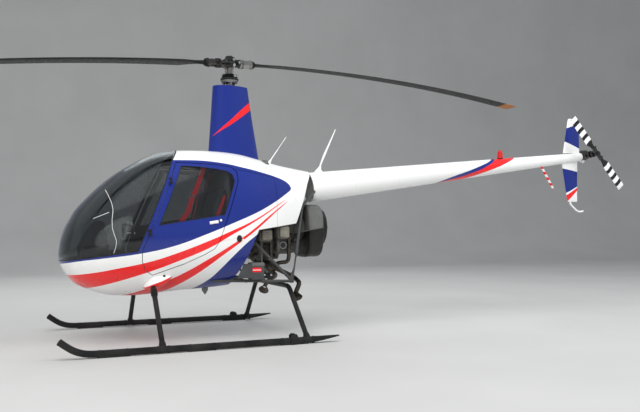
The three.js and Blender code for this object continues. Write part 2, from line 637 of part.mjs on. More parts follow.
function buildFan() {
  const { x, z, wheel, inletEnd, half } = FAN;
  const collar = solid(bar([ENGINE.x[1] + SEAT_GAP, 0, z], [x[0] + 5, 0, z], 105, 130, 20));
  const inlet = solid(bar([x[1] - 5, 0, z], [inletEnd, 0, z], 196, 186, 28));
  const mouth = solid(bar([x[1] - 40, 0, z], [inletEnd + 40, 0, z], 162, 168, 28));
  // A thin ledge runs forward from the scroll, above the cylinders' cooling air
  const ledge = [[553, 957], [709, 984], [920, 1020], [920, 1026], [709, 990], [553, 963]];
  const portLedge = sidePlate(ledge, -half - 6, -ENGINE.half - 10);
  const scroll = join([scrollSolid(0, ...x), collar, inlet, solid(portLedge), solid(mirrored(portLedge))])
    .subtract(scrollSolid(16, x[0] + 22, x[1] - 16))
    .subtract(mouth);
  add("fan_scroll", geometryOf(scroll), "shroud");

  const VANES = 14;
  const hub = solid(bar([x[0] + 22 + SEAT_GAP, 0, z], [x[1] - 30, 0, z], 52, 46, 20));
  const backPlate = solid(bar([x[0] + 40, 0, z], [x[0] + 50, 0, z], wheel, wheel, 28));
  const vanes = [];
  for (let i = 0; i < VANES; i++) {
    const vane = box([x[0] + 48, -4, 46], [x[1] - 34, 4, wheel - 4]).translate(0, -20, 0);
    vanes.push(solid(vane.rotateX((2 * Math.PI * i) / VANES).translate(0, 0, z)));
  }
  add("fan_wheel", geometryOf(join([hub, backPlate, ...vanes])), "metal");
}

// The tail
const BOOM_SIDES = 32;
const BOOM = { front: [820, 1425], end: [4330, 1848], frontRadius: 150, endRadius: 50, wall: 12 };

// The boom's cone, grown by a distance and lengthened at its front.
function boomSolid(growth, ahead) {
  const [start, stop] = [BOOM.front[0] - ahead, BOOM.end[0] + 2 * growth].map((x) => ({ x, ...boomAt(x) }));
  const reach = growth / Math.cos(Math.PI / BOOM_SIDES);
  const ends = [start, stop].map(({ x, z }) => [x, 0, z]);
  return solid(bar(...ends, start.radius + reach, stop.radius + reach, BOOM_SIDES));
}

// The boom's height and radius at a station.
function boomAt(x) {
  const t = (x - BOOM.front[0]) / (BOOM.end[0] - BOOM.front[0]);
  return {
    z: THREE.MathUtils.lerp(BOOM.front[1], BOOM.end[1], t),
    radius: THREE.MathUtils.lerp(BOOM.frontRadius, BOOM.endRadius, t),
  };
}

function buildTail() {
  const { front, end, frontRadius, endRadius, wall } = BOOM;
  const outer = boomSolid(0, 0);
  const roomEnds = [[front[0] - 30, 0, front[1] - 4], [end[0] - 40, 0, end[1] - 5]];
  const room = solid(bar(...roomEnds, frontRadius - wall + 1, endRadius - wall, BOOM_SIDES));
  add("tail_boom", geometryOf(outer.subtract(room)), "white");

  const clear = boomSolid(SEAT_GAP, 0);
  // Sections of a fin or wing: its station, leading edge, trailing edge and thickness
  const surface = (sections, place) =>
    loft(sections.map(([station, lead, trail, thick]) => {
      const chord = trail - lead;
      return streamlined(chord, thick / chord).map(([s, t]) => place(lead + s, t * chord, station));
    }));
  const fin = (sections) => surface(sections, (x, thick, height) => [x, thick, height]);
  const upper = solid(fin([[1830, 4056, 4312, 30], [1900, 4070, 4312, 30], [2300, 4150, 4312, 20]]));
  add("fin_upper", geometryOf(upper.subtract(clear)), "white");
  const lower = solid(fin([[1310, 4119, 4268, 20], [1740, 4052, 4278, 30], [1840, 4040, 4280, 30]]));
  add("fin_lower", geometryOf(lower.subtract(clear)), "blue");
  const STABILIZER_HEIGHT = 1816;
  const stabilizer = surface(
    [[30, 3960, 4236, 30], [740, 4010, 4236, 22]], (x, thick, y) => [x, y, STABILIZER_HEIGHT + thick]);
  const finRoom = solid(fin([[1700, 4030, 4322, 34], [1900, 4030, 4322, 34]]));
  add("stabilizer", geometryOf(solid(stabilizer).subtract(clear).subtract(finRoom)), "white");

  const bumper = bentBar([[4165, 0, 1286], [4255, 0, 1208], [4298, 0, 1190], [4355, 0, 1200]], 11, 10)
    .add(solid(bar([4165, 0, 1310 - SEAT_GAP], [4165, 0, 1284], 12, 11, 10)));
  add("tail_bumper", geometryOf(bumper), "white");

  const rod = solid(bar([3745, 0, 1722], [3913, 0, 1464], 14, 14, 10)).subtract(clear);
  add("warning_rod", geometryOf(rod), "red");

  const beaconPlace = boomAt(3168);
  // [radius, height] points of the beacon's outline
  const beaconProfile = [[0, -20], [34, -20], [34, 22], [30, 28], [31, 60], [25, 84], [11, 98], [0, 101]];
  const beacon = new THREE.LatheGeometry(beaconProfile.map(([r, h]) => new THREE.Vector2(r, h)), 18)
    .rotateX(Math.PI / 2)
    .translate(3168, 0, beaconPlace.z + beaconPlace.radius);
  add("beacon", geometryOf(solid(beacon).subtract(clear)), "red");

  const gearbox = join([
    solid(bar([end[0] + SEAT_GAP, 0, end[1]], [TAIL_ROTOR.x, 0, end[1] + 10], 46, 50, 20)),
    solid(bar([TAIL_ROTOR.x, -112, TAIL_ROTOR.z], [TAIL_ROTOR.x, 62, TAIL_ROTOR.z], 40, 62, 20)),
  ]);
  add("tail_gearbox", geometryOf(gearbox.subtract(clear)), "metal");
}

// The tail rotor, whose blades lie in an upright plane on the port side.
function buildTailRotor() {
  const rotor = new THREE.Group();
  rotor.position.set(TAIL_ROTOR.x, TAIL_ROTOR.y, TAIL_ROTOR.z);
  rotor.rotation.y = -TAIL_BLADE_ANGLE;
  airframe.add(rotor);
  const shaft = bar([0, 100 - SEAT_GAP, 0], [0, -26, 0], 14);
  const slider = bar([0, 72, 0], [0, 50, 0], 34, 34, 16);
  const block = box([-92, -16, -22], [92, 12, 22]);
  const links = [-1, 1].map((s) => bar([s * 60, 55, 34], [s * 74, 0, 34], 5));
  const arms = [-1, 1].map((s) => box([s * 74 - 12, -8, 15], [s * 74 + 12, 8, 42]));
  const linkFeet = [-1, 1].map((s) => box([Math.min(0, s * 68), 50, 20], [Math.max(0, s * 68), 60, 40]));
  const hub = join([shaft, slider, block, ...links, ...arms, ...linkFeet].map(solid));
  add("tail_rotor_hub", geometryOf(hub), "metal", rotor);
  const CHORD = 100;
  for (const [i, way] of [1, -1].entries()) {
    // Its distance from the shaft, chord and thickness
    const sections = [[92 + SEAT_GAP, 44, 18], [140, 60, 15], [170, CHORD, 12], [TAIL_ROTOR_RADIUS, CHORD, 12]];
    const blade = loft(sections.map(([r, chord, thick]) => {
      const ring = streamlined(chord, thick / chord, 5);
      return ring.map(([s, t]) => [way * r, t * chord - 2, way * (s - chord * 0.4)]);
    }));
    add(`tail_blade_${i + 1}`, blade, "white", rotor);
  }
}

// The main rotor
const MAST_RADIUS = 30;
const HORN_TOP = 2472; // the turning swashplate's arms

function buildMast() {
  const fairingSections = [
    { z: 1560, front: -222, back: 312, half: 118 },
    { z: 1700, front: -213, back: 290, half: 112 },
    { z: 2060, front: -188, back: 228, half: 100 },
    { z: 2390, front: -167, back: 178, half: 90 },
  ];
  const ringAt = ({ z, front, back, half }, inset) => {
    const ring = [];
    for (let i = 0; i < 28; i++) {
      const a = (2 * Math.PI * i) / 28;
      const middle = (front + back) / 2;
      const reach = (back - front) / 2 - inset;
      const narrow = 1 - 0.3 * Math.cos(a);
      ring.push([middle + reach * Math.cos(a), (half - inset) * Math.sin(a) * narrow, z]);
    }
    return ring;
  };
  const outer = solid(loft(fairingSections.map((s) => ringAt(s, 0))));
  const inner = solid(loft(fairingSections.map((s, i) => ringAt({ ...s, z: s.z + [-20, 0, 0, 20][i] }, 8))));
  add("mast_fairing", geometryOf(outer.subtract(inner).subtract(bodySolid(-SEAT_GAP))), "blue");

  const rods = [0, 1, 2].map((i) => {
    const a = (2 * Math.PI * i) / 3 + 0.5;
    const [x, y] = [58 * Math.cos(a), 58 * Math.sin(a)];
    return solid(bar([x, y, GEARBOX.high + SEAT_GAP], [x, y, 2432], 7, 7, 8));
  });
  const lowerRing = solid(bar([0, 0, 2424], [0, 0, 2452], 74, 84, 24));
  const passage = solid(bar([0, 0, 2400], [0, 0, 2500], MAST_RADIUS + 6, MAST_RADIUS + 6, 20));
  add("swashplate_fixed", geometryOf(join([lowerRing, ...rods]).subtract(passage)), "metal");

  const spin = new THREE.Group();
  spin.rotation.z = ROTOR_AZIMUTH;
  airframe.add(spin);
  const mastEnds = [[0, 0, GEARBOX.high + SEAT_GAP], [0, 0, HUB_HEIGHT - 42 - SEAT_GAP]];
  add("mast", bar(...mastEnds, MAST_RADIUS, MAST_RADIUS, 20), "metal", spin);
  // [height, radius] of the turning ring and the boot on it
  const bootSections = [
    [2452 + SEAT_GAP, 88], [2472, 88], [2476, 64], [2488, 78], [2496, 62], [2508, 72], [2516, 46],
  ];
  const boot = bootSections.slice(1).map(([z, r], i) =>
    solid(bar([0, 0, bootSections[i][0]], [0, 0, z], bootSections[i][1], r, 20)));
  const horns = solid(box([-14, -112, HORN_TOP - 16], [14, 112, HORN_TOP]));
  const mastHole = solid(bar([0, 0, 2400], [0, 0, 2600], MAST_RADIUS + SEAT_GAP, MAST_RADIUS + SEAT_GAP, 20));
  add("swashplate_turning", geometryOf(join([...boot, horns]).subtract(mastHole)), "black", spin);

  const head = new THREE.Group();
  head.position.z = HUB_HEIGHT;
  head.rotation.y = -TEETER;
  spin.add(head);
  const hub = join([
    solid(box([-72, -52, -40], [72, 52, 34])),
    solid(bar([0, -96, 22], [0, 96, 22], 32, 32, 16)),
    solid(bar([-70, -70, 0], [-70, 70, 0], 26, 26, 14)),
    solid(bar([70, -70, 0], [70, 70, 0], 26, 26, 14)),
    solid(new THREE.SphereGeometry(46, 16, 10).translate(0, 0, 38)),
    solid(bar([0, 0, 60], [0, 0, 84], 20, 20, 12)),
  ]);
  add("rotor_hub", geometryOf(hub), "metal", head);

  for (const [i, way] of [1, -1].entries()) {
    const slope = 2 * BLADE_DROOP * 170;
    const grip = join([
      solid(bar([way * (96 + SEAT_GAP), 0, 0], [way * 150, 0, -slope * 60], 46, 44, 16)),
      solid(bar([way * 149, 0, -slope * 60], [way * 262, 0, -slope * 130], 40, 32, 16)),
      solid(box([Math.min(way * 118, way * 142), Math.min(0, way * 108), -16],
        [Math.max(way * 118, way * 142), Math.max(0, way * 108), 6])),
      solid(box([Math.min(0, way * 142), Math.min(way * 88, way * 112), -16],
        [Math.max(0, way * 142), Math.max(way * 88, way * 112), 4])),
    ]);
    const clearHub = join([
      solid(box([-73, -53, -41], [73, 53, 35])),
      solid(bar([0, -98, 22], [0, 98, 22], 33, 33, 16)),
      solid(bar([way * 70, -72, 0], [way * 70, 72, 0], 26.3, 26.3, 14)),
    ]);
    add(`blade_grip_${i + 1}`, geometryOf(grip.subtract(clearHub)), "metal", head);
    const linkFoot = HORN_TOP + 1 - HUB_HEIGHT;
    const link = bar([0, way * 100, linkFoot], [0, way * 100, -16 - SEAT_GAP], 8, 8, 10);
    add(`pitch_link_${i + 1}`, link, "metal", head);
    add(`main_blade_${i + 1}`, mainBlade(way), "blade", head);
  }
}

// Blade sections: share of the radius, chord, thickness, twist in degrees
const BLADE_SECTIONS = [
  [0.0685, 66, 40, 6], [0.09, 74, 32, 6], [0.125, ROTOR_CHORD, 26, 5.5], [0.3, ROTOR_CHORD, 22, 4],
  [0.5, ROTOR_CHORD, 22, 2.5], [0.7, ROTOR_CHORD, 21, 1], [0.87, ROTOR_CHORD, 20, 0],
  [1, ROTOR_CHORD, 18, -1],
];

function mainBlade(way) {
  return loft(BLADE_SECTIONS.map(([share, chord, thick, twist]) => {
    const r = share * ROTOR_RADIUS;
    const angle = THREE.MathUtils.degToRad(twist);
    const sag = -BLADE_DROOP * r * r;
    return streamlined(chord, thick / chord, 6).map(([s, t]) => {
      const aft = 0.3 * chord - s; // towards the leading edge from the blade's axis
      const up = t * chord;
      return [
        way * r,
        way * (aft * Math.cos(angle) - up * Math.sin(angle)),
        sag + aft * Math.sin(angle) + up * Math.cos(angle),
      ];
    });
  }));
}

function buildAntennas() {
  const clear = bodySolid(-SEAT_GAP);
  const whip = join([
    solid(bar([392, 0, 1648], [420, 0, 1700], 16, 10, 12)),
    solid(bar([418, 0, 1696], [613, 0, 1951], 5, 3.5, 8)),
    solid(box([330, -22, 1600], [420, 22, 1672])),
  ]).subtract(clear);
  add("antenna_whip", geometryOf(whip), "white");
  const place = boomAt(900);
  const foot = [
    [840, place.z + 100], [985, place.z + 100], [975, 1592], [960, 1612], [962, 1660], [1000, 1740],
    [1128, 2028], [1122, 2031], [985, 1760],
  ];
  const blade = solid(sidePlate(foot, -7, 7)).subtract(boomSolid(SEAT_GAP, 30)).subtract(clear);
  add("antenna_blade", geometryOf(blade), "white");

  const bellyOutline = [[-277, 470], [-277, 430], [-250, 391], [-240, 391], [-216, 430], [-216, 470]];
  const bellyBlade = solid(sidePlate(bellyOutline, -5, 5)).subtract(clear);
  add("antenna_belly", geometryOf(bellyBlade), "black");
}

buildBody();
buildLandingGear();
buildInterior();
buildEngineBay();
buildTail();
buildTailRotor();
buildMast();
buildAntennas();

// The origin is on the ground, under the middle of the whole machine's box.
airframe.updateMatrixWorld(true);
const bounds = new THREE.Box3().setFromObject(airframe, true);
const middle = bounds.getCenter(new THREE.Vector3());
airframe.position.set(-middle.x, -middle.y, -bounds.min.z);

const helicopter = new THREE.Group();
helicopter.add(airframe);

export default helicopter;
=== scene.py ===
# %% [markdown]
# A light two-seat helicopter, parked on its skids
#
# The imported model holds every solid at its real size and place. This lesson dresses it: each panel, blade,
# tube and seat is modelled again with finer surfaces, given a finish, and set to ride on the body that it
# moves with. Distances are in metres. Pieces are modelled from the rotor mast's axis, with x running aft, y
# to starboard and z up from just below the skids' shoes, and are moved into the model's frame when they are
# finished.

# %% The frame
import json
import math

import bpy
import numpy as np
from mathutils import Matrix, Vector


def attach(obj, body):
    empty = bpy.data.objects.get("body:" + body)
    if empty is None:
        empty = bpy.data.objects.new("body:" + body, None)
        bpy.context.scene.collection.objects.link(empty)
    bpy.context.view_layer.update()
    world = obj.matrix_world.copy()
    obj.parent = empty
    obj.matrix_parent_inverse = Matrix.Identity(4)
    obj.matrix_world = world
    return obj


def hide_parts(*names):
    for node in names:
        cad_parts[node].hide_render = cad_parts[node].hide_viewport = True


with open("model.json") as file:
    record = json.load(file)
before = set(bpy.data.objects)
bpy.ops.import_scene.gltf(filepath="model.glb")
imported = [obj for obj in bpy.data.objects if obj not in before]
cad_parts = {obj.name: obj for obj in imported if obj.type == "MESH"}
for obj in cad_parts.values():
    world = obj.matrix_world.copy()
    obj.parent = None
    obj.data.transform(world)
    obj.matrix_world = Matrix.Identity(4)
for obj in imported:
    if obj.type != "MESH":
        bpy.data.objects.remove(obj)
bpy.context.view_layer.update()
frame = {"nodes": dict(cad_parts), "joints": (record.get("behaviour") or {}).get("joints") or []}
joints = {joint["name"]: joint for joint in frame["joints"]}
SHOE_HEIGHT = 0.012
HOME = Vector((joints["main_rotor_spin"]["pos_m"][0], 0, -SHOE_HEIGHT))
print("frame loaded:", len(frame["nodes"]), "nodes, mast at x", HOME.x)

# %% [markdown]
# The camera and the stage
#
# The photograph is taken from the helicopter's left, a little ahead of the nose and at eye height. The
# camera's place and focal length were solved from sizes that this kind of machine is known to have. The stage
# is a pale floor that curves up into a pale wall, lit by large soft lamps, so that the paint shows its own
# colour.

# %% Camera
CAMERA_PLACE = HOME + Vector((-1.9297, -6.8998, 0.9991))
CAMERA_YAW = math.radians(22.633)
CAMERA_PITCH = math.radians(1.836)
CAMERA_ROLL = math.radians(-0.353)
SENSOR = 36.0
IMAGE_WIDTH = 640
FOCAL_PIXELS = 734.55

ahead = Vector((math.sin(CAMERA_YAW) * math.cos(CAMERA_PITCH), math.cos(CAMERA_YAW) * math.cos(CAMERA_PITCH),
    math.sin(CAMERA_PITCH)))
level = Vector((math.cos(CAMERA_YAW), -math.sin(CAMERA_YAW), 0.0))
upright = level.cross(ahead)
right = level * math.cos(CAMERA_ROLL) + upright * math.sin(CAMERA_ROLL)
top = upright * math.cos(CAMERA_ROLL) - level * math.sin(CAMERA_ROLL)
bpy.ops.object.camera_add()
camera = bpy.context.object
camera.name = "camera"
camera.matrix_world = Matrix((right, top, -ahead)).transposed().to_4x4()
camera.location = CAMERA_PLACE
camera.data.sensor_width = SENSOR
camera.data.lens = FOCAL_PIXELS / IMAGE_WIDTH * SENSOR
camera.data.clip_end = 200
bpy.context.scene.camera = camera
print("camera lens", round(camera.data.lens, 2), "mm")

# %% [markdown]
# Small tools
#
# An operator acts on all that is selected, so a piece is always made the only selected and active object
# first, and edit mode is opened with its whole mesh selected.

# %% Small tools for objects
def alone(piece):
    """Selects one object only, and makes it the active one."""
    if bpy.context.object and bpy.context.object.mode != "OBJECT":
        bpy.ops.object.mode_set(mode="OBJECT")
    bpy.ops.object.select_all(action="DESELECT")
    piece.select_set(True)
    bpy.context.view_layer.objects.active = piece


def settle(piece):
    """Applies the modifiers, and puts the object's turn, size and place into its mesh."""
    alone(piece)
    for modifier in list(piece.modifiers):
        bpy.ops.object.modifier_apply(modifier=modifier.name)
    bpy.ops.object.transform_apply(location=True, rotation=True, scale=True)


def joined(name, pieces):
    """Several objects as one mesh."""
    alone(pieces[0])
    for piece in pieces:
        piece.select_set(True)
    if len(pieces) > 1:
        bpy.ops.object.join()
    pieces[0].name = name
    return pieces[0]


def edit(piece, kind="FACE"):
    """Opens edit mode with all the piece's vertices, edges or faces selected."""
    alone(piece)
    bpy.ops.object.mode_set(mode="EDIT")
    bpy.ops.mesh.select_mode(type=kind)
    bpy.ops.mesh.select_all(action="SELECT")


def close_edit():
    bpy.ops.object.mode_set(mode="OBJECT")


def close_outwards():
    """Turns all faces outwards and closes edit mode."""
    bpy.ops.mesh.select_all(action="SELECT")
    bpy.ops.mesh.normals_make_consistent(inside=False)
    close_edit()


def started(name, primitive, **settings):
    """A new primitive under its piece's name, with nothing else selected."""
    alone(floor)
    primitive(**settings)
    piece = bpy.context.object
    piece.name = name
    return piece


# %% Floor, wall and lamps
def stage_sheet():
    """A floor that curves up into a wall behind the machine: an edge seen from the side, pulled out."""
    DEPTH, HEIGHT, BEND, SIDE = 16.0, 14.0, 5.0, 45.0
    bpy.ops.mesh.primitive_plane_add(size=1)
    sheet = bpy.context.object
    edit(sheet, "VERT")
    bpy.ops.mesh.delete(type="VERT")
    close_edit()
    curve = [(-40.0, 0.0)]
    for step in range(13):
        angle = math.pi / 2 * step / 12
        curve.append((DEPTH - BEND + BEND * math.sin(angle), BEND - BEND * math.cos(angle)))
    curve.append((DEPTH, HEIGHT))
    sheet.data.from_pydata([(-SIDE, y, z) for y, z in curve], [(i, i + 1) for i in range(len(curve) - 1)], [])
    edit(sheet, "EDGE")
    bpy.ops.mesh.extrude_region_move(TRANSFORM_OT_translate={"value": (2 * SIDE, 0, 0)})
    close_edit()
    bpy.ops.object.shade_smooth()
    sheet.name = "stage_sheet"
    return sheet


def soft_lamp(name, place, aim, size, power, tint=(1, 1, 1)):
    bpy.ops.object.light_add(type="AREA", location=place)
    lamp = bpy.context.object
    lamp.name = name
    lamp.data.shape = "DISK"
    lamp.data.size = size
    lamp.data.energy = power
    lamp.data.color = tint
    lamp.rotation_euler = (Vector(aim) - Vector(place)).to_track_quat("-Z", "Y").to_euler()
    lamp.visible_glossy = False


floor = stage_sheet()
soft_lamp("sky_lamp", (-3, -4, 9), (0, 0, 1), 9, 680, (1.0, 0.99, 0.97))
soft_lamp("tail_lamp", (6, -5, 7), (3, 0, 1.5), 6, 400, (0.97, 0.98, 1.0))
soft_lamp("far_lamp", (0, 8, 8), (0, 0, 1.5), 7, 420, (0.97, 0.98, 1.0))
soft_lamp("front_lamp", (-6, -9, 2.2), (0, 0, 1), 6, 440, (1.0, 0.985, 0.96))
bpy.context.scene.view_settings.view_transform = "Standard"
world = bpy.data.worlds.new("studio")
bpy.context.scene.world = world
world.use_nodes = True
world.node_tree.nodes["Background"].inputs["Color"].default_value = (0.86, 0.9, 0.95, 1)
world.node_tree.nodes["Background"].inputs["Strength"].default_value = 0.5
print("stage set with 4 lamps")

# %% [markdown]
# Finishes
#
# Every finish is a Principled shader whose colour, roughness and bump come from noise on Object coordinates,
# so it stays on the surface in every view. A small class writes the node trees, because each finish needs the
# same few steps: coordinates, noise, a ramp or a comparison, and the shader.

# %% A writer of node trees
class Finish:
    """One material, and short calls that add its nodes."""

    def __init__(self, name, colour=(0.8, 0.8, 0.8), roughness=0.5, metal=0.0, **sockets):
        self.material = bpy.data.materials.new(name)
        self.material.use_nodes = True
        self.tree = self.material.node_tree
        self.shader = self.tree.nodes["Principled BSDF"]
        self.set("Base Color", (*colour, 1))
        self.set("Roughness", roughness)
        self.set("Metallic", metal)
        for socket, value in sockets.items():
            self.set(socket.replace("_", " "), value)
        self.place = self.node("TexCoord").outputs["Object"]

    def plug(self, value, target):
        """Joins a socket to a value, or sets it where the value is a number or a colour."""
        if isinstance(value, bpy.types.NodeSocket):
            self.tree.links.new(value, target)
        else:
            target.default_value = value

    def set(self, socket, value):
        self.plug(value, self.shader.inputs[socket])

    def node(self, kind, inputs=(), **settings):
        made = self.tree.nodes.new("ShaderNode" + kind)
        for key, value in settings.items():
            setattr(made, key, value)
        for key, value in dict(inputs).items():
            self.plug(value, made.inputs[key])
        return made

    def math(self, operation, a, b=0.0, c=0.0):
        return self.node("Math", {0: a, 1: b, 2: c}, operation=operation).outputs[0]

    def axis(self, letter):
        """The surface's x, y or z, counted from the same point as the pieces are while they are modelled."""
        value = self.node("SeparateXYZ", {0: self.place}).outputs[letter.upper()]
        return self.math("SUBTRACT", value, HOME["xyz".index(letter)])

    def noise(self, scale, detail=3.0, rough=0.55):
        inputs = {"Vector": self.place, "Scale": scale, "Detail": detail, "Roughness": rough}
        return self.node("TexNoise", inputs).outputs["Fac"]

    def spread(self, value, low, high, low_at=0.35, high_at=0.65):
        """A value's middle stretch mapped from low to high."""
        inputs = {"Value": value, 1: low_at, 2: high_at, 3: low, 4: high}
        return self.node("MapRange", inputs).outputs[0]

    def blend(self, amount, *colours):
        """One colour where the amount is 0, the other where it is 1."""
        a, b = ((*value, 1) if isinstance(value, tuple) else value for value in colours)
        return self.node("Mix", {0: amount, 6: a, 7: b}, data_type="RGBA").outputs[2]

    def bump(self, height, depth, strength=1.0):
        inputs = {"Height": height, "Distance": depth, "Strength": strength}
        self.set("Normal", self.node("Bump", inputs).outputs[0])

    def gloss(self, low, high, scale, *detail):
        """Roughness that wanders from low to high over the surface."""
        self.set("Roughness", self.spread(self.noise(scale, *detail), low, high))

    def grain(self, depth, strength, scale, *detail):
        """A fine even bump."""
        self.bump(self.noise(scale, *detail), depth, strength)

    def colour(self, value):
        self.set("Base Color", value)

    def between(self, letter, low, high):
        """1 where the surface's x, y or z is between two values."""
        return self.math("MULTIPLY", self.math("GREATER_THAN", self.axis(letter), low),
            self.math("LESS_THAN", self.axis(letter), high))


def studio_floor():
    finish = Finish("studio_floor", (0.5, 0.5, 0.49), 0.8, Specular_IOR_Level=0.2)
    tone = finish.spread(finish.noise(0.6), 0.0, 1.0)
    finish.colour(finish.blend(tone, (0.49, 0.49, 0.48), (0.52, 0.52, 0.51)))
    return finish.material


floor.data.materials.append(studio_floor())

# %% [markdown]
# The livery
#
# The body is painted after its panels are hung, so the stripes run across the gaps without a break. One
# finish therefore serves all the body's panels. Each edge between two colours is a line seen from the side: a
# few points of height against distance aft, joined by a smooth curve node, and a point is above the line or
# below it.

# %% Paint
BLUE = (0.002, 0.016, 0.195)
WHITE = (0.84, 0.84, 0.83)
RED = (0.84, 0.008, 0.01)


def above(finish, points):
    """1 where the surface lies above the line through the points, seen from the side, and 0 below it."""
    along, up = finish.axis("x"), finish.axis("z")
    low, high = points[0][0], points[-1][0]
    bottom = min(z for _, z in points)
    span = max(max(z for _, z in points) - bottom, 1e-3)
    curve = finish.node("FloatCurve",
        {"Value": finish.math("DIVIDE", finish.math("SUBTRACT", along, low), high - low)})
    line = curve.mapping.curves[0]
    for number, (x, z) in enumerate(points):
        spot = ((x - low) / (high - low), (z - bottom) / span)
        if number in (0, len(points) - 1):
            line.points[0 if number == 0 else len(line.points) - 1].location = spot
        else:
            line.points.new(*spot)
    curve.mapping.update()
    height = finish.math("MULTIPLY_ADD", curve.outputs[0], span, bottom)
    return finish.math("GREATER_THAN", up, height)


def band(finish, foot, top):
    """1 where the surface lies between two lines, the lower one first."""
    return finish.math("SUBTRACT", above(finish, foot), above(finish, top))


def gloss_paint(name, colour=WHITE):
    """Sprayed gloss paint: a clear coat with faint orange peel."""
    finish = Finish(name, colour, 0.3, Coat_Weight=0.45, Coat_Roughness=0.06)
    finish.gloss(0.26, 0.4, 2.2)
    finish.grain(0.0004, 0.12, 260, 1.0)
    return finish


# Each line's points are distance aft of the mast and height
BLUE_TOP = [(-1.6, 1.64), (-0.604, 1.629), (-0.38, 1.63), (-0.18, 1.612), (0.0, 1.577), (0.181, 1.538),
    (0.36, 1.495), (0.44, 1.467), (0.49, 1.434), (0.513, 1.392)]
BLUE_FOOT = [(-1.6, 0.7), (-1.448, 0.737), (-1.257, 0.762), (-0.955, 0.799), (-0.677, 0.856),
    (-0.336, 0.975), (-0.107, 1.067), (0.102, 1.154), (0.192, 1.197), (0.306, 1.257), (0.375, 1.296),
    (0.448, 1.341), (0.5, 1.375), (0.513, 1.392)]
RED_ONE_TOP = [(-1.56, 0.61), (-1.329, 0.638), (-1.136, 0.673), (-0.841, 0.734), (-0.674, 0.784),
    (-0.342, 0.906), (-0.108, 1.004), (-0.005, 1.048), (0.101, 1.1), (0.191, 1.148), (0.304, 1.213),
    (0.372, 1.252), (0.44, 1.284)]
RED_ONE_FOOT = [(-1.56, 0.44), (-1.252, 0.52), (-0.981, 0.6), (-0.776, 0.668), (-0.631, 0.722),
    (-0.333, 0.845), (-0.108, 0.971), (-0.005, 1.024), (0.101, 1.083), (0.19, 1.134), (0.304, 1.203),
    (0.371, 1.244), (0.44, 1.284)]
RED_TWO_TOP = [(-1.1, 0.4), (-0.848, 0.487), (-0.584, 0.603), (-0.327, 0.75), (-0.108, 0.884),
    (-0.005, 0.95), (0.064, 0.999), (0.138, 1.053), (0.213, 1.11), (0.303, 1.172), (0.37, 1.216),
    (0.465, 1.274)]
RED_TWO_FOOT = [(-0.9, 0.36), (-0.7, 0.442), (-0.499, 0.56), (-0.32, 0.69), (-0.22, 0.768), (-0.025, 0.908),
    (0.079, 0.983), (0.152, 1.038), (0.229, 1.098), (0.31, 1.162), (0.378, 1.209), (0.465, 1.274)]
BLUE_LOW = [(-0.5, 0.4), (-0.291, 0.564), (-0.204, 0.663), (-0.11, 0.768), (-0.016, 0.86), (0.031, 0.9),
    (0.08, 0.936), (0.126, 0.972)]
BULGE_RED = [(-0.9, 0.507), (-0.881, 0.509), (-0.854, 0.522), (-0.821, 0.537), (-0.783, 0.55),
    (-0.744, 0.563), (-0.704, 0.58), (-0.657, 0.594), (-0.63, 0.6)]


def body_livery():
    finish = gloss_paint("body_livery")
    ahead_of_tip = finish.math("LESS_THAN", finish.axis("x"), BLUE_TOP[-1][0])
    blue = band(finish, BLUE_FOOT, BLUE_TOP)
    blue = finish.math("MULTIPLY", finish.math("MAXIMUM", blue, 0.0), ahead_of_tip)
    red_one = band(finish, RED_ONE_FOOT, RED_ONE_TOP)
    red_two = band(finish, RED_TWO_FOOT, RED_TWO_TOP)
    red = finish.math("MULTIPLY", finish.math("MAXIMUM", red_one, red_two), ahead_of_tip)
    along_it = finish.between("x", BLUE_LOW[0][0], BLUE_LOW[-1][0])
    low = finish.math("MULTIPLY", finish.math("SUBTRACT", 1.0, above(finish, BLUE_LOW)), along_it)
    blue = finish.math("MAXIMUM", blue, low)
    colour = finish.blend(finish.math("MAXIMUM", red, 0.0), WHITE, RED)
    finish.colour(finish.blend(blue, colour, BLUE))
    return finish.material


def bulge_livery():
    """The lower stripe where it runs over the bulges that stand out from the skin."""
    finish = gloss_paint("bulge_livery")
    finish.colour(finish.blend(above(finish, BULGE_RED), RED, WHITE))
    return finish.material


livery = body_livery()
print("livery mixed")

# %% [markdown]
# The body's skin
#
# The cabin is a shell whose sections are squared ellipses that grow from a round nose and shrink to the tail.
# In Blender such a skin can be lofted ring by ring. Here a flat grid is rolled round the sections instead,
# because a grid keeps its faces in order: one direction runs round the body, the other from nose to tail. The
# same skin, drawn in by the wall's thickness, is taken out of it, and each panel is cut from the shell by an
# outline.

